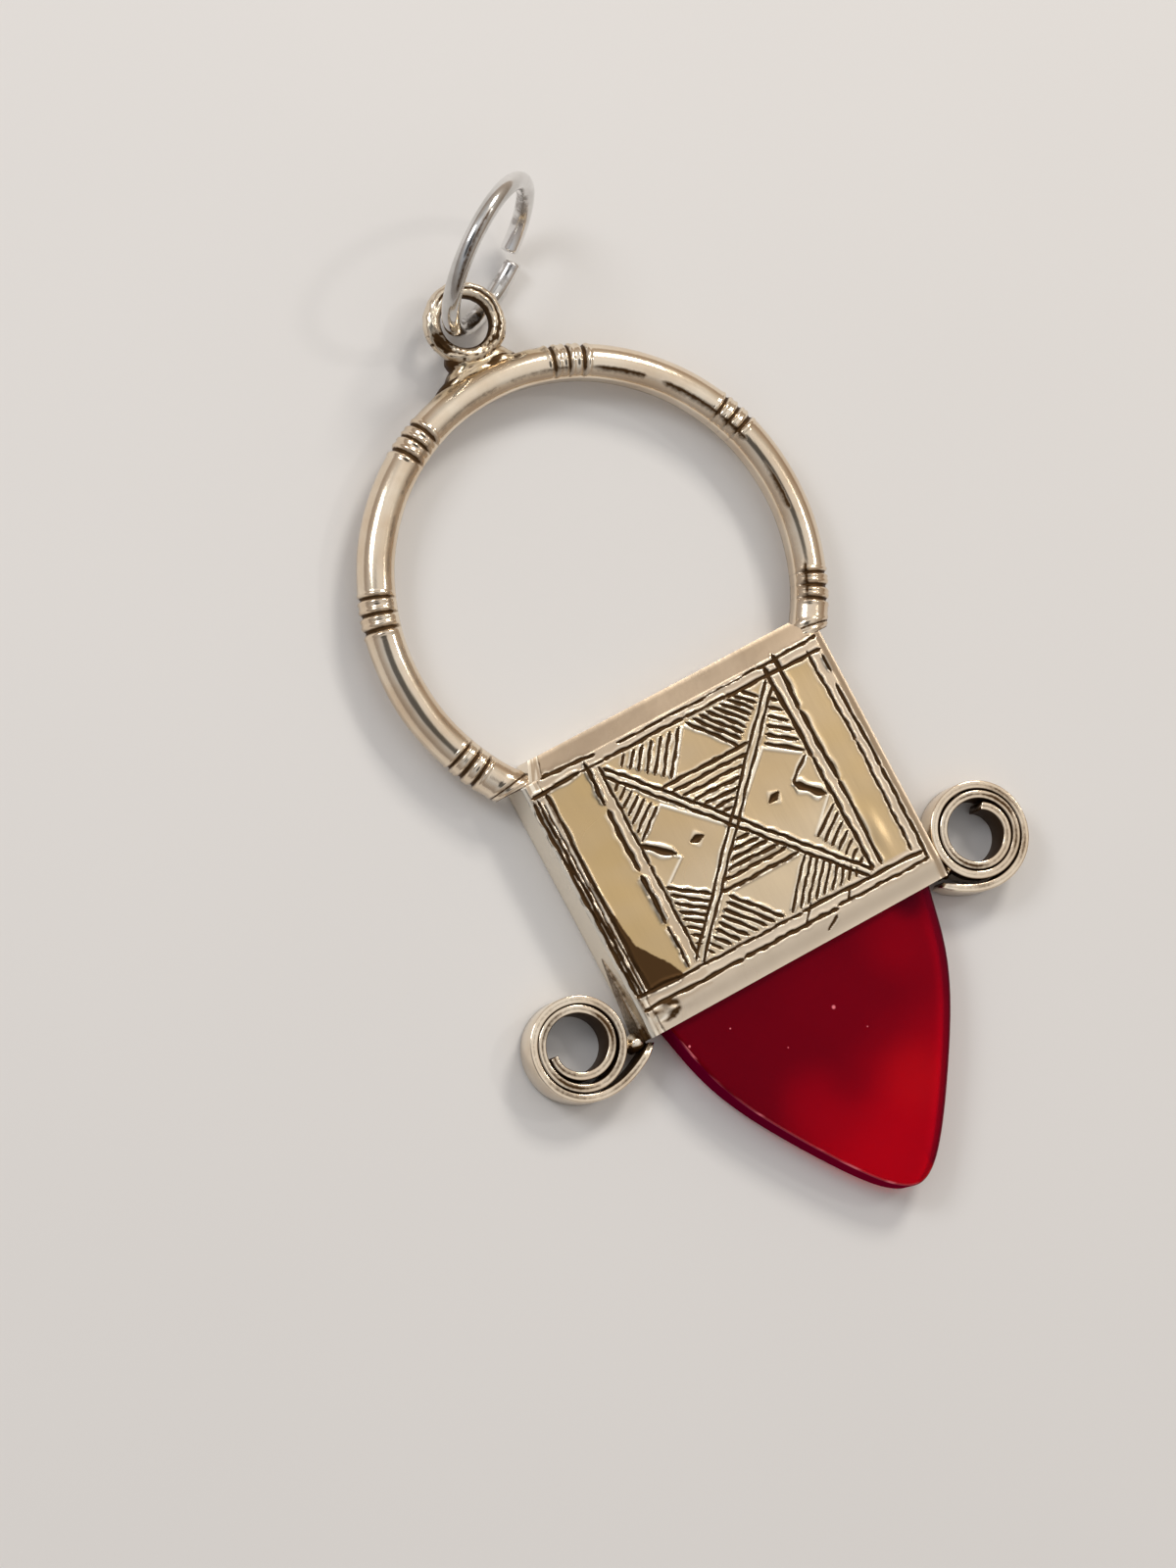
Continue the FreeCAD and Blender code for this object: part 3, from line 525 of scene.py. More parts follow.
def stops(*pairs):
    """Places from one stop to the next: pairs of a stop and the step up to it."""
    places = [pairs[0][0]]
    for (start, _), (end, step) in zip(pairs, pairs[1:]):
        count = max(1, round(abs(end - start) / step))
        places += list(np.linspace(start, end, count + 1)[1:])
    return np.array(places)


def half_width_at(y):
    """The sleeve's half width at height y, which narrows in a mitre along the ridge."""
    mitre = RIDGE_HALF_WIDTH - RIDGE_MITRE * np.clip((y - SHOULDER_Y) / (RIDGE_Y - SHOULDER_Y), 0, 1)
    return np.where(y < SHOULDER_Y - 0.01, HALF_WIDTH, mitre)


def front_height(x, y):
    """Height of the front before engraving: the flat, the ridge, the lip and the worn side edges."""
    z = np.full(np.broadcast(x, y).shape, DEPTH)
    z = z - RIDGE_DROP * np.clip((y - SHOULDER_Y + 0.04) / (RIDGE_Y - SHOULDER_Y), 0, 1)
    z = z - LIP_DROP * smooth(0, 1.1, LIP_Y - y)
    z = z - 0.15 * smooth(0, 0.5, x - (RIGHT_X - 0.5)) - 0.12 * smooth(0, 0.2, LEFT_X + 0.2 - x)
    z = z - 0.06 * np.exp(-((x + 7.75) / 0.42) ** 2 - ((y + 20.35) / 0.28) ** 2)
    z = z + 0.05 * np.exp(-((x - 6.75) / 0.3) ** 2 - ((y + 17.4) / 1.0) ** 2)
    return z + 0.014 * ripple(x, y, 6, 3) + 0.005 * ripple(x, y, 1.6, 4)


def squeezed(x, y):
    """Columns of the front moved so that its edges follow the sleeve's sides, also where those stand in."""
    half = half_width_at(y)
    start = np.where(x < MIDDLE, FIELD_LEFT, FIELD_RIGHT)
    edge = np.where(x < MIDDLE, LEFT_X, RIGHT_X)
    new_edge = np.where(x < MIDDLE, MIDDLE - half, MIDDLE + half)
    outer = (x - start) * np.sign(x - MIDDLE) > 0
    return np.where(outer, start + (x - start) * (new_edge - start) / (edge - start), x)


def make_sleeve():
    """The sleeve as one closed skin: a tube along Y with an engraved front, open at its mouth."""
    fine, plain = 0.055, 0.12
    xs = stops((LEFT_X, 0), (-6.0, fine), (FIELD_LEFT, plain), (FIELD_RIGHT, fine), (7.7, plain),
               (RIGHT_X, fine))
    ys = stops((RIDGE_Y, 0), (-7.0, plain), (-8.2, fine), (-20.7, fine), (MOUTH_Y, 0.06))
    x, y = np.meshgrid(xs, ys)
    x_real = squeezed(x, y)
    relief, patina_and_shade, rub_and_highlight = engrave(xs, ys)
    # Solder smeared over the left end of the lip
    smudge = np.exp(-((x + 7.4) / 0.85) ** 2 - ((y + 20.1) / 0.55) ** 2)
    blotch = ripple(x, 2 * y, 1.3, 19)
    z = front_height(x_real, y) + relief + 0.03 * smudge * ripple(x, 2 * y, 0.9, 15)
    stain = smooth(-0.1, 0.12, np.interp(y, STAIN_Y, STAIN_X) + 0.04 * ripple(x, y, 1.2, 8) - x)
    stain = stain * smooth(-7.95, -7.75, x) * smooth(-19.05, -18.95, y) * (0.9 + 0.1 * ripple(x, y, 0.4, 9))
    left_frame = (x < -7.85) * (x > -8.5) * (y < -12)
    for dark in (stain, 0.75 * smooth(0.2, 0.6, smudge) * smooth(-0.6, 0.2, blotch),
                 0.6 * smooth(0.1, 0.5, ripple(4 * x, 0.5 * y, 0.9, 18)) * left_frame):
        patina_and_shade = np.maximum(patina_and_shade, dark)
    # Painted highlights: bright streaks in the left frame and on the solder, and along the left edge; a
    # painted sheen on the lip and painted light on the lower middle
    highlight_streaks = smooth(0.1, 0.5, ripple(4 * x, 0.5 * y, 0.9, 17))
    for bright in (0.8 * highlight_streaks * between(x, -8.6, -8.5, -7.9, -7.8),
                   smooth(0.15, 0.5, smudge) * smooth(0.2, 0.5, -blotch),
                   0.9 * (1 - smooth(LEFT_X + 0.1, LEFT_X + 0.25, x)),
                   0.28 * smooth(0, 0.3, LIP_Y - y),
                   0.26 * smooth(12, 17.5, -y) * between(x, *MIDDLE_BAND)):
        rub_and_highlight = np.maximum(rub_and_highlight, bright)
    tint = sum(share * between(x, *band) for *band, share in GOLD_BANDS)
    gold = 0.08 + between(y, -18.95, -18.8, -8.0, -7.85) * tint * (0.9 + 0.1 * ripple(x, y, 2.0, 12))

    def column(x_place, z_place):
        return np.stack([x_place, ys, np.full(len(ys), z_place)], -1)

    half = half_width_at(ys)
    left, right = MIDDLE - half, MIDDLE + half
    right_wall = [column(right, h) for h in (1.9, 1.2, 0.6, 0.25)] + [column(right - 0.07, 0.07)]
    back = [column(MIDDLE + half * share, 0)
            for share in (0.97, 0.75, 0.45, 0.15, -0.15, -0.45, -0.75, -0.97)]
    left_wall = [column(left + 0.07, 0.07)] + [column(left, h) for h in (0.25, 0.6, 1.2, 1.9)]
    plain_columns = np.array(right_wall + back + left_wall)
    front = np.stack([x_real, y, z], -1).transpose(1, 0, 2)
    loops = np.concatenate([front, plain_columns]).transpose(1, 0, 2)

    # The inside of the mouth is the last loop, drawn in by the thickness of the sheet
    inner = loops[-1].copy()
    inner[:, 0] = MIDDLE + (inner[:, 0] - MIDDLE) * (HALF_WIDTH - MOUTH_INSET) / HALF_WIDTH
    inner[:, 2] = MOUTH_FLOOR + inner[:, 2] * (MOUTH_ROOF - MOUTH_FLOOR) / DEPTH
    deep = inner.copy()
    deep[:, 1] = MOUTH_Y + MOUTH_DEEP
    loops = np.concatenate([loops, inner[None], deep[None]])
    darkening, gold, rub_and_highlight = (np.pad(layer, ((0, 2), (0, len(plain_columns))))
                          for layer in (patina_and_shade, gold, rub_and_highlight))
    # Painted shade: the inside of the mouth darkened all over
    darkening[-2:] = 0.9
    # Painted reflection: the left wall lightened as a reflection of the bright table beside it
    rub_and_highlight[:-2, -len(left_wall):] = 0.9
    faces = closed_skin(*loops.shape[:2])
    return add_piece("sleeve", loops, faces, PLATE_SILVER, "silver_frame", darkening, gold,
                     crease=50, rub_and_highlight=rub_and_highlight)


# Hoop

GROOVES = (-119.2, -115.9, -112.6, -75.5, -71.6, -67.6, -30, -26, -22.5, 17.5, 21.5, 25.5, 64, 67.7, 71.1,
           113.5, 116.8, 120.2)


def hoop_section():
    """Points round the hoop's wire as radius and height: a flat inner wall, facets and a domed outside."""
    dome = HOOP_OUTER - HOOP_MIDDLE
    wall = [(HOOP_INNER, h) for h in (-0.42, -0.2, 0.0, 0.2, 0.42)]
    facet_up = [(HOOP_INNER + 0.04, 0.5), (10.5, 0.66), (10.68, 0.8)]
    arc = [(HOOP_MIDDLE + dome * math.cos(t), dome * math.sin(t))
           for t in np.radians(np.linspace(113, -113, 27))]
    facet_down = [(r, -h) for r, h in reversed(facet_up)]
    return np.array(wall + facet_up + arc + facet_down)


def make_hoop():
    """The filed bow: its round part, darkened in a patchy line along one facet, and its two feet down to the
    shoulders.
    """
    section = hoop_section()
    radius, height = section[:, 0], section[:, 1]
    out = np.stack([radius - HOOP_MIDDLE, height], -1)
    out /= np.linalg.norm(out, axis=1)[:, None]
    reach = smooth(-0.9, -0.3, radius - HOOP_MIDDLE)
    turns = np.linspace(-HOOP_LAST, HOOP_LAST, int(2 * HOOP_LAST / 0.28) + 1)
    cut = np.zeros(len(turns))
    rim = np.zeros(len(turns))
    for n, place in enumerate(GROOVES):
        off = (turns - place) / (0.66 + 0.12 * math.sin(n * 2.4))
        cut = np.maximum(cut, np.clip(1 - off ** 2, 0, 1))
        rim = np.maximum(rim, np.exp(-((np.abs(off) - 1.7) / 0.55) ** 2))
    t = np.repeat(turns[:, None], len(section), axis=1)
    push = (GROOVE_RIM * rim - GROOVE_DEPTH * cut)[:, None] * reach[None]
    push = push - 0.008 + 0.008 * ripple(t * 0.2, height[None] + radius[None], 2.5, 11)
    z = HOOP_Z + height[None] + push * out[None, :, 1]
    # Golden, rough solder beside the bail
    wash = between(t, -17, -12, 12, 21) * smooth(0.2, 0.8, out[None, :, 0]) * (height[None] > -0.3)
    rough = ripple(t * 0.2, 2 * height[None], 0.9, 14)
    r = radius[None] + (push + wash * 0.03 * rough) * out[None, :, 0]
    facet_line = np.exp(-((radius[None] - 10.78) / 0.13) ** 2) * (height[None] > 0.3)
    patchy = smooth(-0.6, 0.2, ripple(t * 0.2, height[None], 2.2, 13))
    darkening = cut[:, None] * (0.25 + 0.75 * reach[None])
    darkening = np.maximum(darkening, 0.7 * wash * smooth(0.0, 0.9, -rough))
    darkening = np.maximum(darkening, facet_line * patchy * (0.5 + 0.4 * smooth(10, 30, t)))
    # Past the last turn the wire runs on until it stands level on the shoulders
    feet = np.degrees(np.arccos(np.clip(SHOULDER_Y / radius, -1, 1)))
    rows = [(t, r, z, darkening, wash)]
    for side in (-1, 1):
        share = np.linspace(0, 1, 33)[1:, None]
        turn = side * (HOOP_LAST + (feet[None] - HOOP_LAST) * share)
        edge = 0 if side < 0 else -1
        collar = 1 + 0.045 * (np.exp(-((share - 0.5) / 0.09) ** 2) + np.exp(-((share - 0.82) / 0.07) ** 2))
        joint = 0.8 * np.exp(-((share - 0.66) / 0.06) ** 2) + 0.9 * smooth(0.93, 1, share)
        foot = (turn, HOOP_MIDDLE + (r[edge] - HOOP_MIDDLE)[None] * collar,
                HOOP_Z + (z[edge] - HOOP_Z)[None] * collar, joint + 0 * turn, 0 * turn)
        rows = [tuple(a[::-1] for a in foot)] + rows if side < 0 else rows + [foot]
    t, r, z, darkening, wash = (np.concatenate([row[k] for row in rows]) for k in range(5))
    points = np.stack([r * np.sin(np.radians(t)), r * np.cos(np.radians(t)), z], -1)
    faces = closed_skin(*points.shape[:2], flip=True)
    return add_piece("hoop", points, faces, WIRE_SILVER, None, darkening, 0.6 * wash)


# Bail, scrolls and tongues


def make_scroll(side):
    """A coiled strip, its tail tucked under the sleeve's corner, wound by hand and so a little uneven."""
    middle, hand, winding = SCROLLS[side]
    known, outside = np.array(winding).T
    turns = np.arange(known[0], known[-1], 3.0)
    radius = np.interp(turns, known, outside)
    padded = np.pad(radius, 6, mode="reflect", reflect_type="odd")
    radius = np.convolve(padded, np.full(13, 1 / 13), "valid") - STRIP_THICK / 2
    angle = np.radians(turns - 90)
    out = np.stack([hand * np.cos(angle), np.sin(angle), 0 * angle], -1)
    wobble = 0.03 * np.sin(turns / 67 + hand) + 0.015 * np.sin(turns / 23 + 2 * hand)
    centres = out * radius[:, None] + np.array([*middle, 0])
    centres[:, 2] = STRIP_LOW + STRIP_HIGH / 2 + 0.02 + 0.6 * wobble - 0.06 * (1 - smooth(-60, 60, turns))
    section = rounded_section(STRIP_THICK, STRIP_HIGH - 0.04, 0.08, 4, hollow=0.03)
    # Painted shade between the turns: the strip's sides darkened, the outer turn only on its inner side;
    # brown tarnish patches along its top
    beside = np.abs(section[:, 0]) > 0.9 * STRIP_THICK / 2
    darkening = np.tile(np.where(beside, 0.8, 0.0) + 0.5 * (section[:, 0] == 0), (len(turns), 1))
    across = section[None, :, 0]
    darkening += 0.42 * smooth(-0.5, 0.9, ripple(centres[:, :1], centres[:, 1:2] + 3 * across, 2.6, 51))
    darkening[turns < 360, :] *= np.where(across < 0, 1, np.where(across == 0, 0.7, 0))
    size = 1 - 0.25 * (1 - smooth(0, 4, np.arange(len(turns))))
    if hand < 0:
        section, darkening = section[::-1], darkening[:, ::-1]
    ups = np.tile([0, 0, 1], (len(turns), 1))
    return tube("scroll_" + side, centres, out, ups, section, size, WIRE_SILVER, darkening)


def make_bail():
    """Two turns of flattened wire soldered into one ring, with their seam and a pit where they part."""
    section = rounded_section(*BAIL_WIRE, 12)
    turns = np.radians(np.linspace(0, 360, 181)[:-1])
    a, u = np.meshgrid(turns, section[:, 0], indexing="ij")
    high = np.tile(section[:, 1], (len(turns), 1))
    face = smooth(0.05, 0.35, high)
    seam_at = -0.03 + 0.1 * np.sin(a + 0.6)
    seam = np.exp(-((u - seam_at) / 0.075) ** 2) * smooth(-0.6, 0.1, np.cos(a - 0.4))
    pit_turn = np.angle(np.exp(1j * (a - math.radians(196))))
    pit = np.exp(-((u - 0.02) / (0.24 - 0.15 * pit_turn)) ** 2 - (pit_turn / 0.42) ** 2)
    lump = 0.035 * ripple(3.2 * a, 3 * u + high, 2.4, 31) + 0.02 * ripple(4 * a, 4 * u - high, 0.9, 32)
    z = BAIL_Z + high + face * (-0.12 * seam - 0.3 * pit) + 0.6 * lump
    r = BAIL_RADIUS + u * (1 + lump) + lump * 0.5
    points = np.stack([BAIL_X + r * np.cos(a), BAIL_Y + r * np.sin(a), z], -1)
    blotch = 0.7 * smooth(0.15, 0.8, ripple(5 * a, 5 * u, 1.2, 33)) * smooth(-0.2, 0.5, -np.sin(a + 0.3))
    # Painted shade in the pit and along the inner wall; the seam is a dark joint and the blotches brown
    # tarnish
    darkening = face * (0.95 * seam + 1.4 * pit) + blotch + 0.85 * smooth(-0.25, -0.38, u)
    faces = grid_faces(len(turns), len(section), ring=True)
    return add_piece("bail", points, faces, BAIL_SILVER, None, np.clip(darkening, 0, 1))


# The solder that seats the bail: its outline as x and y, anticlockwise from the right, and its height
SEAT = ((2.3, 11.75), (1.9, 12.2), (1.5, 12.7), (1.35, 13.2), (0.9, 13.12), (0.3, 13.0), (-0.4, 13.1),
        (-1.2, 13.4), (-1.45, 13.0), (-1.35, 12.6), (-1.8, 12.25), (-2.6, 11.85), (-2.3, 11.35),
        (-1.2, 11.5), (0.0, 11.55), (1.2, 11.45), (2.1, 11.3))
SEAT_HIGH = 2.1


def make_seat():
    """Rough solder between the bail and the hoop."""
    middle = np.array([0.0, 12.25])
    edge = np.array(SEAT) - middle
    bearing = np.arctan2(edge[:, 1], edge[:, 0])
    turns = np.linspace(0, 2 * math.pi, 96, endpoint=False)
    reach = np.interp(turns, bearing, np.hypot(*edge.T), period=2 * math.pi)
    inner = np.linspace(0.04, 0.92, 16)
    share = np.concatenate([inner, [0.97, 1.0, 1.0, 0.9]])
    drop = np.concatenate([0.55 * inner ** 4, [0.5, 0.75, 1.1, 1.2]])
    s_grid, t = np.meshgrid(share, turns, indexing="ij")
    x = middle[0] + s_grid * reach * np.cos(t)
    y = middle[1] + s_grid * reach * np.sin(t)
    lump = 0.8 * ripple(x, 3 * y, 1.6, 41) + 0.5 * ripple(x, 3 * y, 0.8, 42)
    z = SEAT_HIGH + 0.12 * smooth(12.4, 13.0, y) - 0.15 * smooth(1.3, 2.4, np.abs(x))
    z = z - drop[:, None] + 0.06 * lump
    darkening = np.clip(0.95 * smooth(0.0, 0.4, -lump) + 0.6 * smooth(0.9, 1.0, s_grid), 0, 1)
    faces = closed_skin(len(share), len(turns), flip=True)
    return add_piece("bail_solder", np.stack([x, y, z], -1), faces, BAIL_SILVER, None, darkening,
                     0.5 * smooth(-0.4, 0.6, lump))


def make_blob(name, centre, radii, seed):
    """A rough, bright knob of solder."""
    rows, columns = 18, 28
    v, u = np.meshgrid(np.linspace(0, math.pi, rows)[1:-1],
                       np.linspace(0, 2 * math.pi, columns, endpoint=False), indexing="ij")
    ball = np.stack([np.sin(v) * np.cos(u), np.sin(v) * np.sin(u), np.cos(v)], -1)
    swell = 1 + 0.12 * ripple(ball[..., 0] + ball[..., 2], ball[..., 1] - ball[..., 2], 1.3, seed)
    points = (ball * swell[..., None] * np.array(radii) + np.array(centre)).reshape(-1, 3)
    top, foot, last = len(points), len(points) + 1, (rows - 3) * columns
    points = np.concatenate([points, [np.add(centre, (0, 0, radii[2])), np.add(centre, (0, 0, -radii[2]))]])
    faces = [face[::-1] for face in grid_faces(rows - 2, columns)]
    faces += [[top, c, (c + 1) % columns] for c in range(columns)]
    faces += [[foot, last + (c + 1) % columns, last + c] for c in range(columns)]
    return add_piece(name, points, faces, WIRE_SILVER, rub_and_highlight=np.full(len(points), 0.8))


def make_tongue(side):
    """The strip's beaten end, a thin pointed leaf up the side of the sleeve."""
    hand = SCROLLS[side][1]
    wall = MIDDLE + hand * HALF_WIDTH
    steps = 26
    share = np.linspace(0, 1, steps)
    ys = MOUTH_Y + TONGUE_LONG * share
    thick = 0.3 * (1 - share) ** 0.6 + 0.05
    high = STRIP_HIGH * (1 - share) ** 0.8 + 0.06
    low = STRIP_LOW + (1.2 - STRIP_LOW) * share
    section = rounded_section(1, 1, 0.2, 4)
    across, up = section.T
    x = wall + hand * ((across + 0.5) * thick[:, None] - 0.06)
    z = low[:, None] + high[:, None] * (up + 0.5)
    points = np.stack([x, np.broadcast_to(ys[:, None], x.shape), z], -1)
    faces = closed_skin(steps, len(section), flip=hand > 0)
    darkening = np.repeat(0.55 + 0.2 * ripple(ys, ys * 0, 1.0, 5), len(section))
    return add_piece("tongue_" + side, points, faces, WIRE_SILVER, None, darkening)


# Stone

STONE_EDGE = ((-20.95, 7.83), (-22.0, 7.62), (-23.0, 7.35), (-24.5, 6.86), (-26.0, 6.27), (-27.5, 5.4),
              (-29.0, 4.4), (-30.3, 3.5), (-31.6, 2.6), (-32.5, 1.8))


def stone_outline():
    """Half-widths of the shield from its hidden top to the tip, closed into a loop, anticlockwise."""
    curve = np.polynomial.Polynomial.fit(*np.array(STONE_EDGE).T, 5)
    ys = np.linspace(-16.2, -32.3, 60)
    right = [(float(curve(min(y, MOUTH_Y))), y) for y in ys]
    x_end, y_end = right[-1]
    slope = float(curve.deriv()(y_end))
    # A quadratic from the end of the side, leaving along it and arriving level at the tip
    corner_x = x_end - min((y_end - STONE_TIP_Y) * slope, x_end * 0.95)
    tip = [(x_end * (1 - t) ** 2 + 2 * corner_x * t * (1 - t),
            y_end * (1 - t) ** 2 + 2 * STONE_TIP_Y * t * (1 - t) + STONE_TIP_Y * t ** 2)
           for t in np.linspace(0, 1, 14)[1:]]
    half = right + tip
    top = [(x, right[0][1]) for x in np.linspace(right[0][0], -right[0][0], 42)[1:-1]]
    loop = [(-x, y) for x, y in half] + [(x, y) for x, y in reversed(half[:-1])] + top
    return np.array(loop)


def make_stone():
    """The shield in rings from the middle of its front, over its edge, to the middle of its back."""
    loop = stone_outline()
    centre = np.array([0.0, -23.5])
    tangent = np.roll(loop, -1, 0) - np.roll(loop, 1, 0)
    normal = np.stack([tangent[:, 1], -tangent[:, 0]], -1)
    normal /= np.linalg.norm(normal, axis=1)[:, None]
    # Each ring's share of the outline, how far it is set in from it, and how far below the front it lies
    rings = [(share, STONE_BEVEL, 0) for share in (0.03, 0.2, 0.4, 0.6, 0.8, 0.93)]
    rings += [(1, STONE_BEVEL * (1 - math.sin(t)), STONE_BEVEL * (1 - math.cos(t)))
              for t in np.radians(np.linspace(0, 90, 6))]
    wall = [(1, 0, drop) for drop in (0.5, 0.85, 1.2)]
    thick = STONE_FRONT - STONE_BACK
    below = [(share, inset, thick - drop) for share, inset, drop in reversed(rings)]
    points, side, chips_and_rim = [], [], []
    for share, inset, drop in rings + wall + below:
        flat = centre + (loop - normal * inset - centre) * share
        x, y = flat.T
        uneven = 0.01 * ripple(x, y, 4, 21) * (drop < 0.1)
        points.append(np.column_stack([x + STONE_X, y, STONE_FRONT - drop - 0.01 + uneven]))
        on_edge = share == 1
        # Painted shade: a dark rim along the right edge of the front, and the side wall darkened
        shaded_right_rim = 0.5 * on_edge * (drop == 0) * (x > 1)
        dark = 0.9 * on_edge * (np.where(x > 1, 0.005, 0.08) < drop) * (drop < thick - 0.08)
        side.append(np.maximum(shaded_right_rim, dark))
        # Chips along the left edge, and the rim lighter towards the tip on the lower left
        chipped = 0.9 * smooth(0.3, 0.8, ripple(3 * x, 3 * y, 2.0, 61)) * (x < 0)
        lower_left_rim_lightening = 0.35 * smooth(-24.5, -26.5, y) * (x < 0)
        chips_and_rim.append(np.maximum(chipped, lower_left_rim_lightening) * on_edge * (0.02 < drop < 0.13))
    count = len(loop)
    faces = closed_skin(len(points), count, flip=True)
    stone = add_piece("stone", points, faces, RED_GLASS, "glass_stone", side, chips_and_rim)
    # The side wall takes the opaque, dark copy of the glass, a painted shade
    stone.data.materials.append(GLASS_PAINTED_SHADE_EDGE)
    first, last = len(rings) - 3, len(rings) + len(wall) + 2
    for polygon in stone.data.polygons[first * count:last * count]:
        polygon.material_index = 1
    return stone


# Jump ring


def make_jump_ring():
    """Split wire ring, a little sprung so that its ends miss each other."""
    turn = np.array(Matrix.Rotation(RING_FACING, 3, "Z") @ Matrix.Rotation(RING_LEAN, 3, "Y"))
    middle = np.array([RING_X, RING_Y, RING_RADIUS * math.sin(RING_LEAN) + RING_WIRE])
    angles = np.linspace(RING_SPLIT + RING_GAP, RING_SPLIT + 360 - RING_GAP, 220)
    a = np.radians(angles)
    from_middle = (angles - RING_SPLIT - 180) / 180
    spring = 0.23 * from_middle * np.abs(from_middle) ** 2.5
    centres = np.stack([RING_RADIUS * np.cos(a), RING_RADIUS * np.sin(a), spring], -1) @ turn.T + middle
    sides = np.stack([np.cos(a), np.sin(a), 0 * a], -1) @ turn.T
    ups = np.tile(turn[:, 2], (len(a), 1))
    around = np.linspace(0, 2 * math.pi, 28, endpoint=False)
    section = RING_WIRE * np.stack([np.cos(around), np.sin(around)], -1)
    # A painted dark reflection along the upper side of the raised part, and a duller inside
    uppermost = np.arctan2(ups[:, 2], sides[:, 2])
    apart = np.angle(np.exp(1j * (around[None] - uppermost[:, None] - 0.1)))
    dark_reflection_streak = 0.75 * np.exp(-(apart / 0.24) ** 2) * between(angles, 165, 178, 228, 240)[:, None]
    patchy = smooth(-0.3, 0.5, ripple(angles / 9, around[0], 1.5, 71))[:, None]
    dull = 0.42 * smooth(0.3, 0.9, -np.cos(around))[None] * patchy
    size = np.ones(len(a))
    size[[0, -1]] = 0.88
    return tube("jump_ring_wire", centres, sides, ups, section, size, RING_SILVER,
                np.maximum(dark_reflection_streak, dull), "jump_ring")


make_sleeve()
make_hoop()
make_bail()
for side in SCROLLS:
    make_scroll(side)
    make_tongue(side)
make_stone()
make_jump_ring()
make_seat()
make_blob("left_solder", (-9.25, -20.8, 0.95), (0.62, 0.5, 0.75), 5)
make_blob("right_solder", (9.35, -20.85, 0.9), (0.4, 0.35, 0.7), 6)


# Table, light and camera

# The lights' names, places in millimetres from the hoop's centre, sizes, power and colours; where they
# point, and where the room's dark patch lies
LIGHTS = (
    ("window", (220, 180, 260), 90, 0.5, (1.0, 0.95, 0.88)),
    ("side", (214, -20, 255), 24, 0.06, (1.0, 0.97, 0.92)),
    ("lamp", (-150, 220, 250), 110, 0.3, (0.95, 0.97, 1.0)),
)
LIT_PLACE = (0, -8, 0)
DARK_PATCH = (-0.345, -0.02, 0.94)


def make_floor():
    half = 0.6
    corners = [(x, y, 0) for x, y in ((-half, -half), (half, -half), (half, half), (-half, half))]
    mesh = bpy.data.meshes.new("table")
    mesh.from_pydata(corners, [], [(0, 1, 2, 3)])
    floor = bpy.data.objects.new("table", mesh)
    bpy.context.scene.collection.objects.link(floor)
    material, tree, shader = new_material("pale_table")
    cloud = noise_at(tree, add_node(tree, "TexCoord").outputs["Object"], 20, 2)
    pale = ramp(tree, cloud, (0.3, (0.74, 0.725, 0.71)), (0.7, (0.76, 0.745, 0.73)))
    plug(tree, shader.inputs["Base Color"], pale)
    shader.inputs["Roughness"].default_value = 0.55
    mesh.materials.append(material)


def add_light(name, place, size, power, colour):
    """A soft box that faces the pendant."""
    data = bpy.data.lights.new(name, "AREA")
    data.shape = "SQUARE"
    data.size = size * MM
    data.energy = power
    data.color = colour
    light = bpy.data.objects.new(name, data)
    bpy.context.scene.collection.objects.link(light)
    aim = Vector(LIT_PLACE) * MM - Vector(place) * MM
    where = Vector(place) * MM + HOOP_CENTRE
    light.matrix_world = Matrix.Translation(where) @ aim.to_track_quat("-Z", "Y").to_matrix().to_4x4()


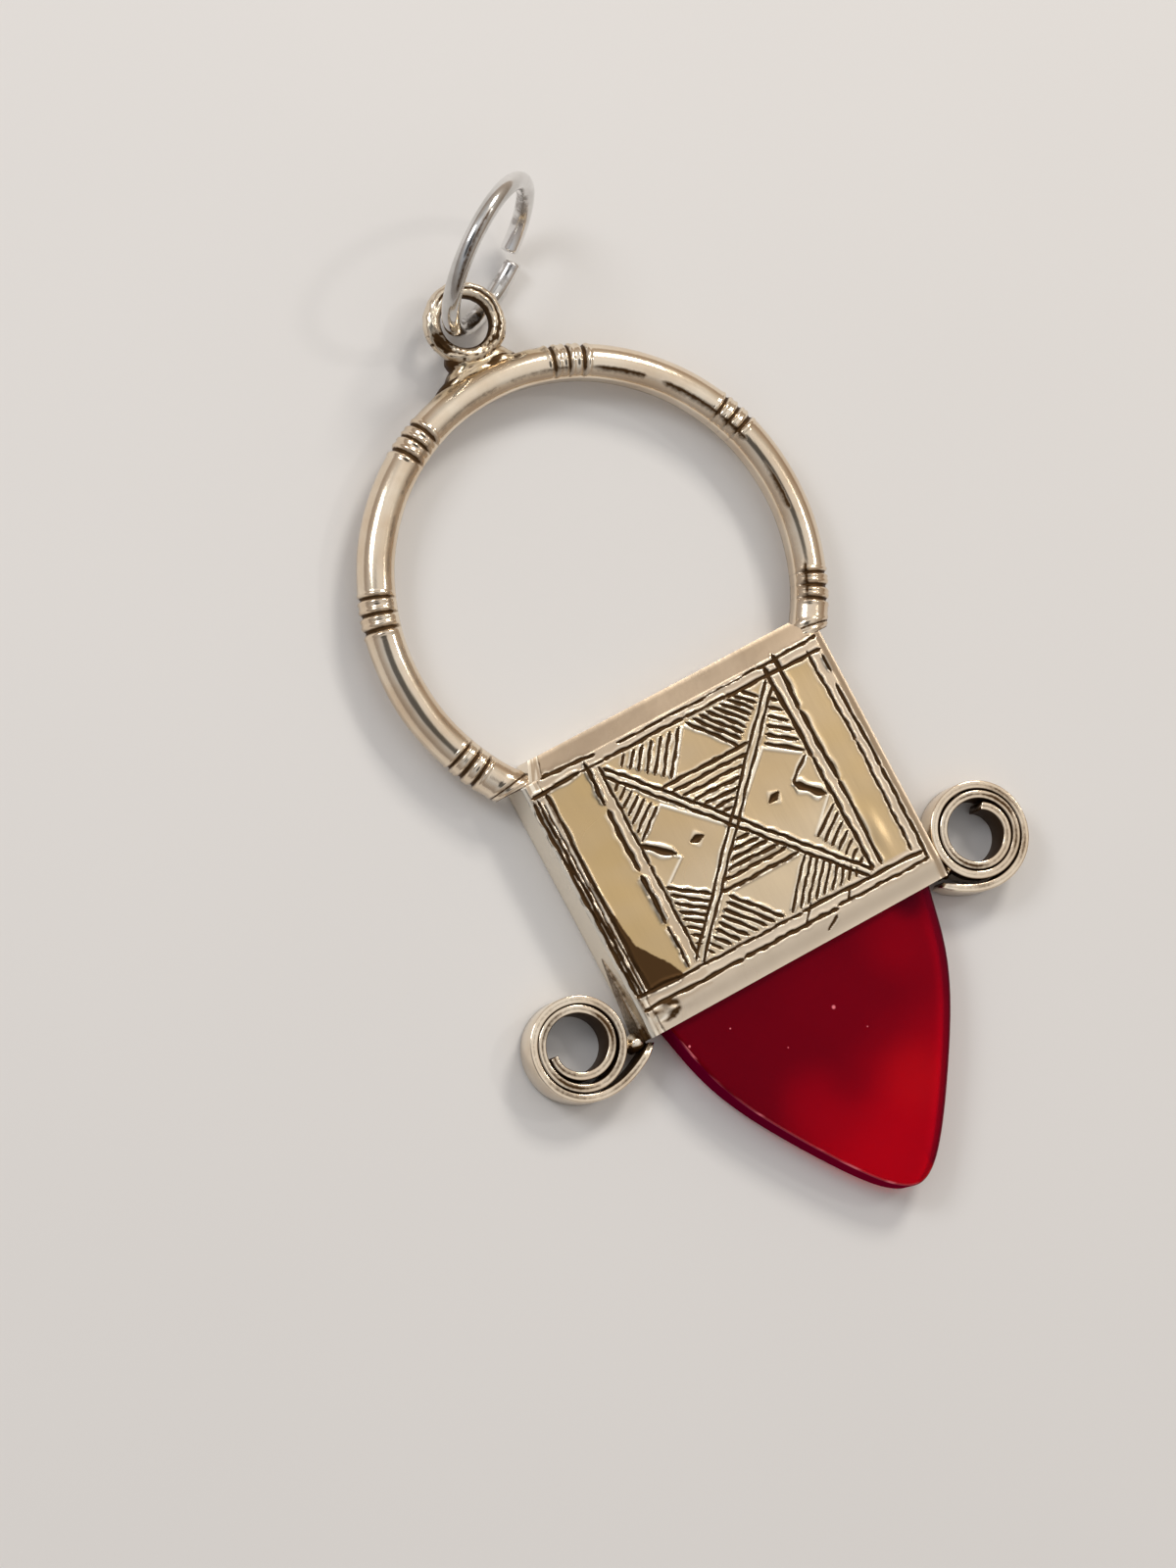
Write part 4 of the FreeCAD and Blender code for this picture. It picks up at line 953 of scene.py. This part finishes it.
def make_world():
    """A light room, warmer to the right, whose darkest part is a patch nearly overhead."""
    world = bpy.data.worlds.new("room")
    bpy.context.scene.world = world
    world.use_nodes = True
    tree = world.node_tree
    places = add_node(tree, "TexCoord").outputs["Generated"]
    split = add_node(tree, "SeparateXYZ")
    tree.links.new(places, split.inputs[0])
    height = ramp(tree, split.outputs["Z"], (0.0, (0.52, 0.46, 0.41)), (0.2, (0.40, 0.34, 0.29)),
                  (0.5, (0.55, 0.50, 0.45)), (0.75, grey(0.64)), (0.92, grey(0.97)), (1.0, grey(0.9)))
    side = map_range(tree, split.outputs["X"], -0.8, 0.8, curve="LINEAR")
    hue = mix(tree, "colour", side, (0.93, 0.97, 1.04), (1.0, 0.94, 0.87))
    toward = compute_vector(tree, "DOT_PRODUCT", places, Vector(DARK_PATCH).normalized())
    patch = map_range(tree, toward, 0.92, 0.97, 1.0, 0.12)
    beyond = map_range(tree, split.outputs["Y"], -0.5, 0.7, 0.92, 1.12)
    level = compute_vector(tree, "MULTIPLY", height, hue)
    sky = compute_vector(tree, "SCALE", level, compute(tree, "MULTIPLY", patch, beyond))
    tree.links.new(sky, tree.nodes["Background"].inputs["Color"])
    tree.nodes["Background"].inputs["Strength"].default_value = 0.9


def make_camera():
    """The photograph's view: tilt and roll of the pendant before it, and its distance."""
    tilt_x, tilt_y, roll = (math.radians(a) for a in (0.40, 19.10, 27.95))
    distance, focal_px, (width_px, height_px) = 289.4, 6000.0, (1200, 1600)
    hoop_px = (613.1, 592.7)
    turn = Matrix.Rotation(roll, 3, "Z") @ Matrix.Rotation(tilt_x, 3, "X") @ Matrix.Rotation(tilt_y, 3, "Y")
    offset = Vector(((hoop_px[0] - width_px / 2) * distance / focal_px,
                     -(hoop_px[1] - height_px / 2) * distance / focal_px, -distance))
    data = bpy.data.cameras.new("camera")
    data.sensor_fit = "VERTICAL"
    data.sensor_height = 24
    data.lens = data.sensor_height * focal_px / height_px
    data.clip_start, data.clip_end = 0.01, 10
    camera = bpy.data.objects.new("camera", data)
    bpy.context.scene.collection.objects.link(camera)
    back = turn.transposed()
    place = (back @ -offset + Vector((0, 0, DEPTH))) * MM + HOOP_CENTRE
    camera.matrix_world = Matrix.Translation(place) @ back.to_4x4()
    bpy.context.scene.camera = camera


make_floor()
make_world()
for light in LIGHTS:
    add_light(*light)
make_camera()
bpy.context.scene.view_settings.view_transform = "Standard"
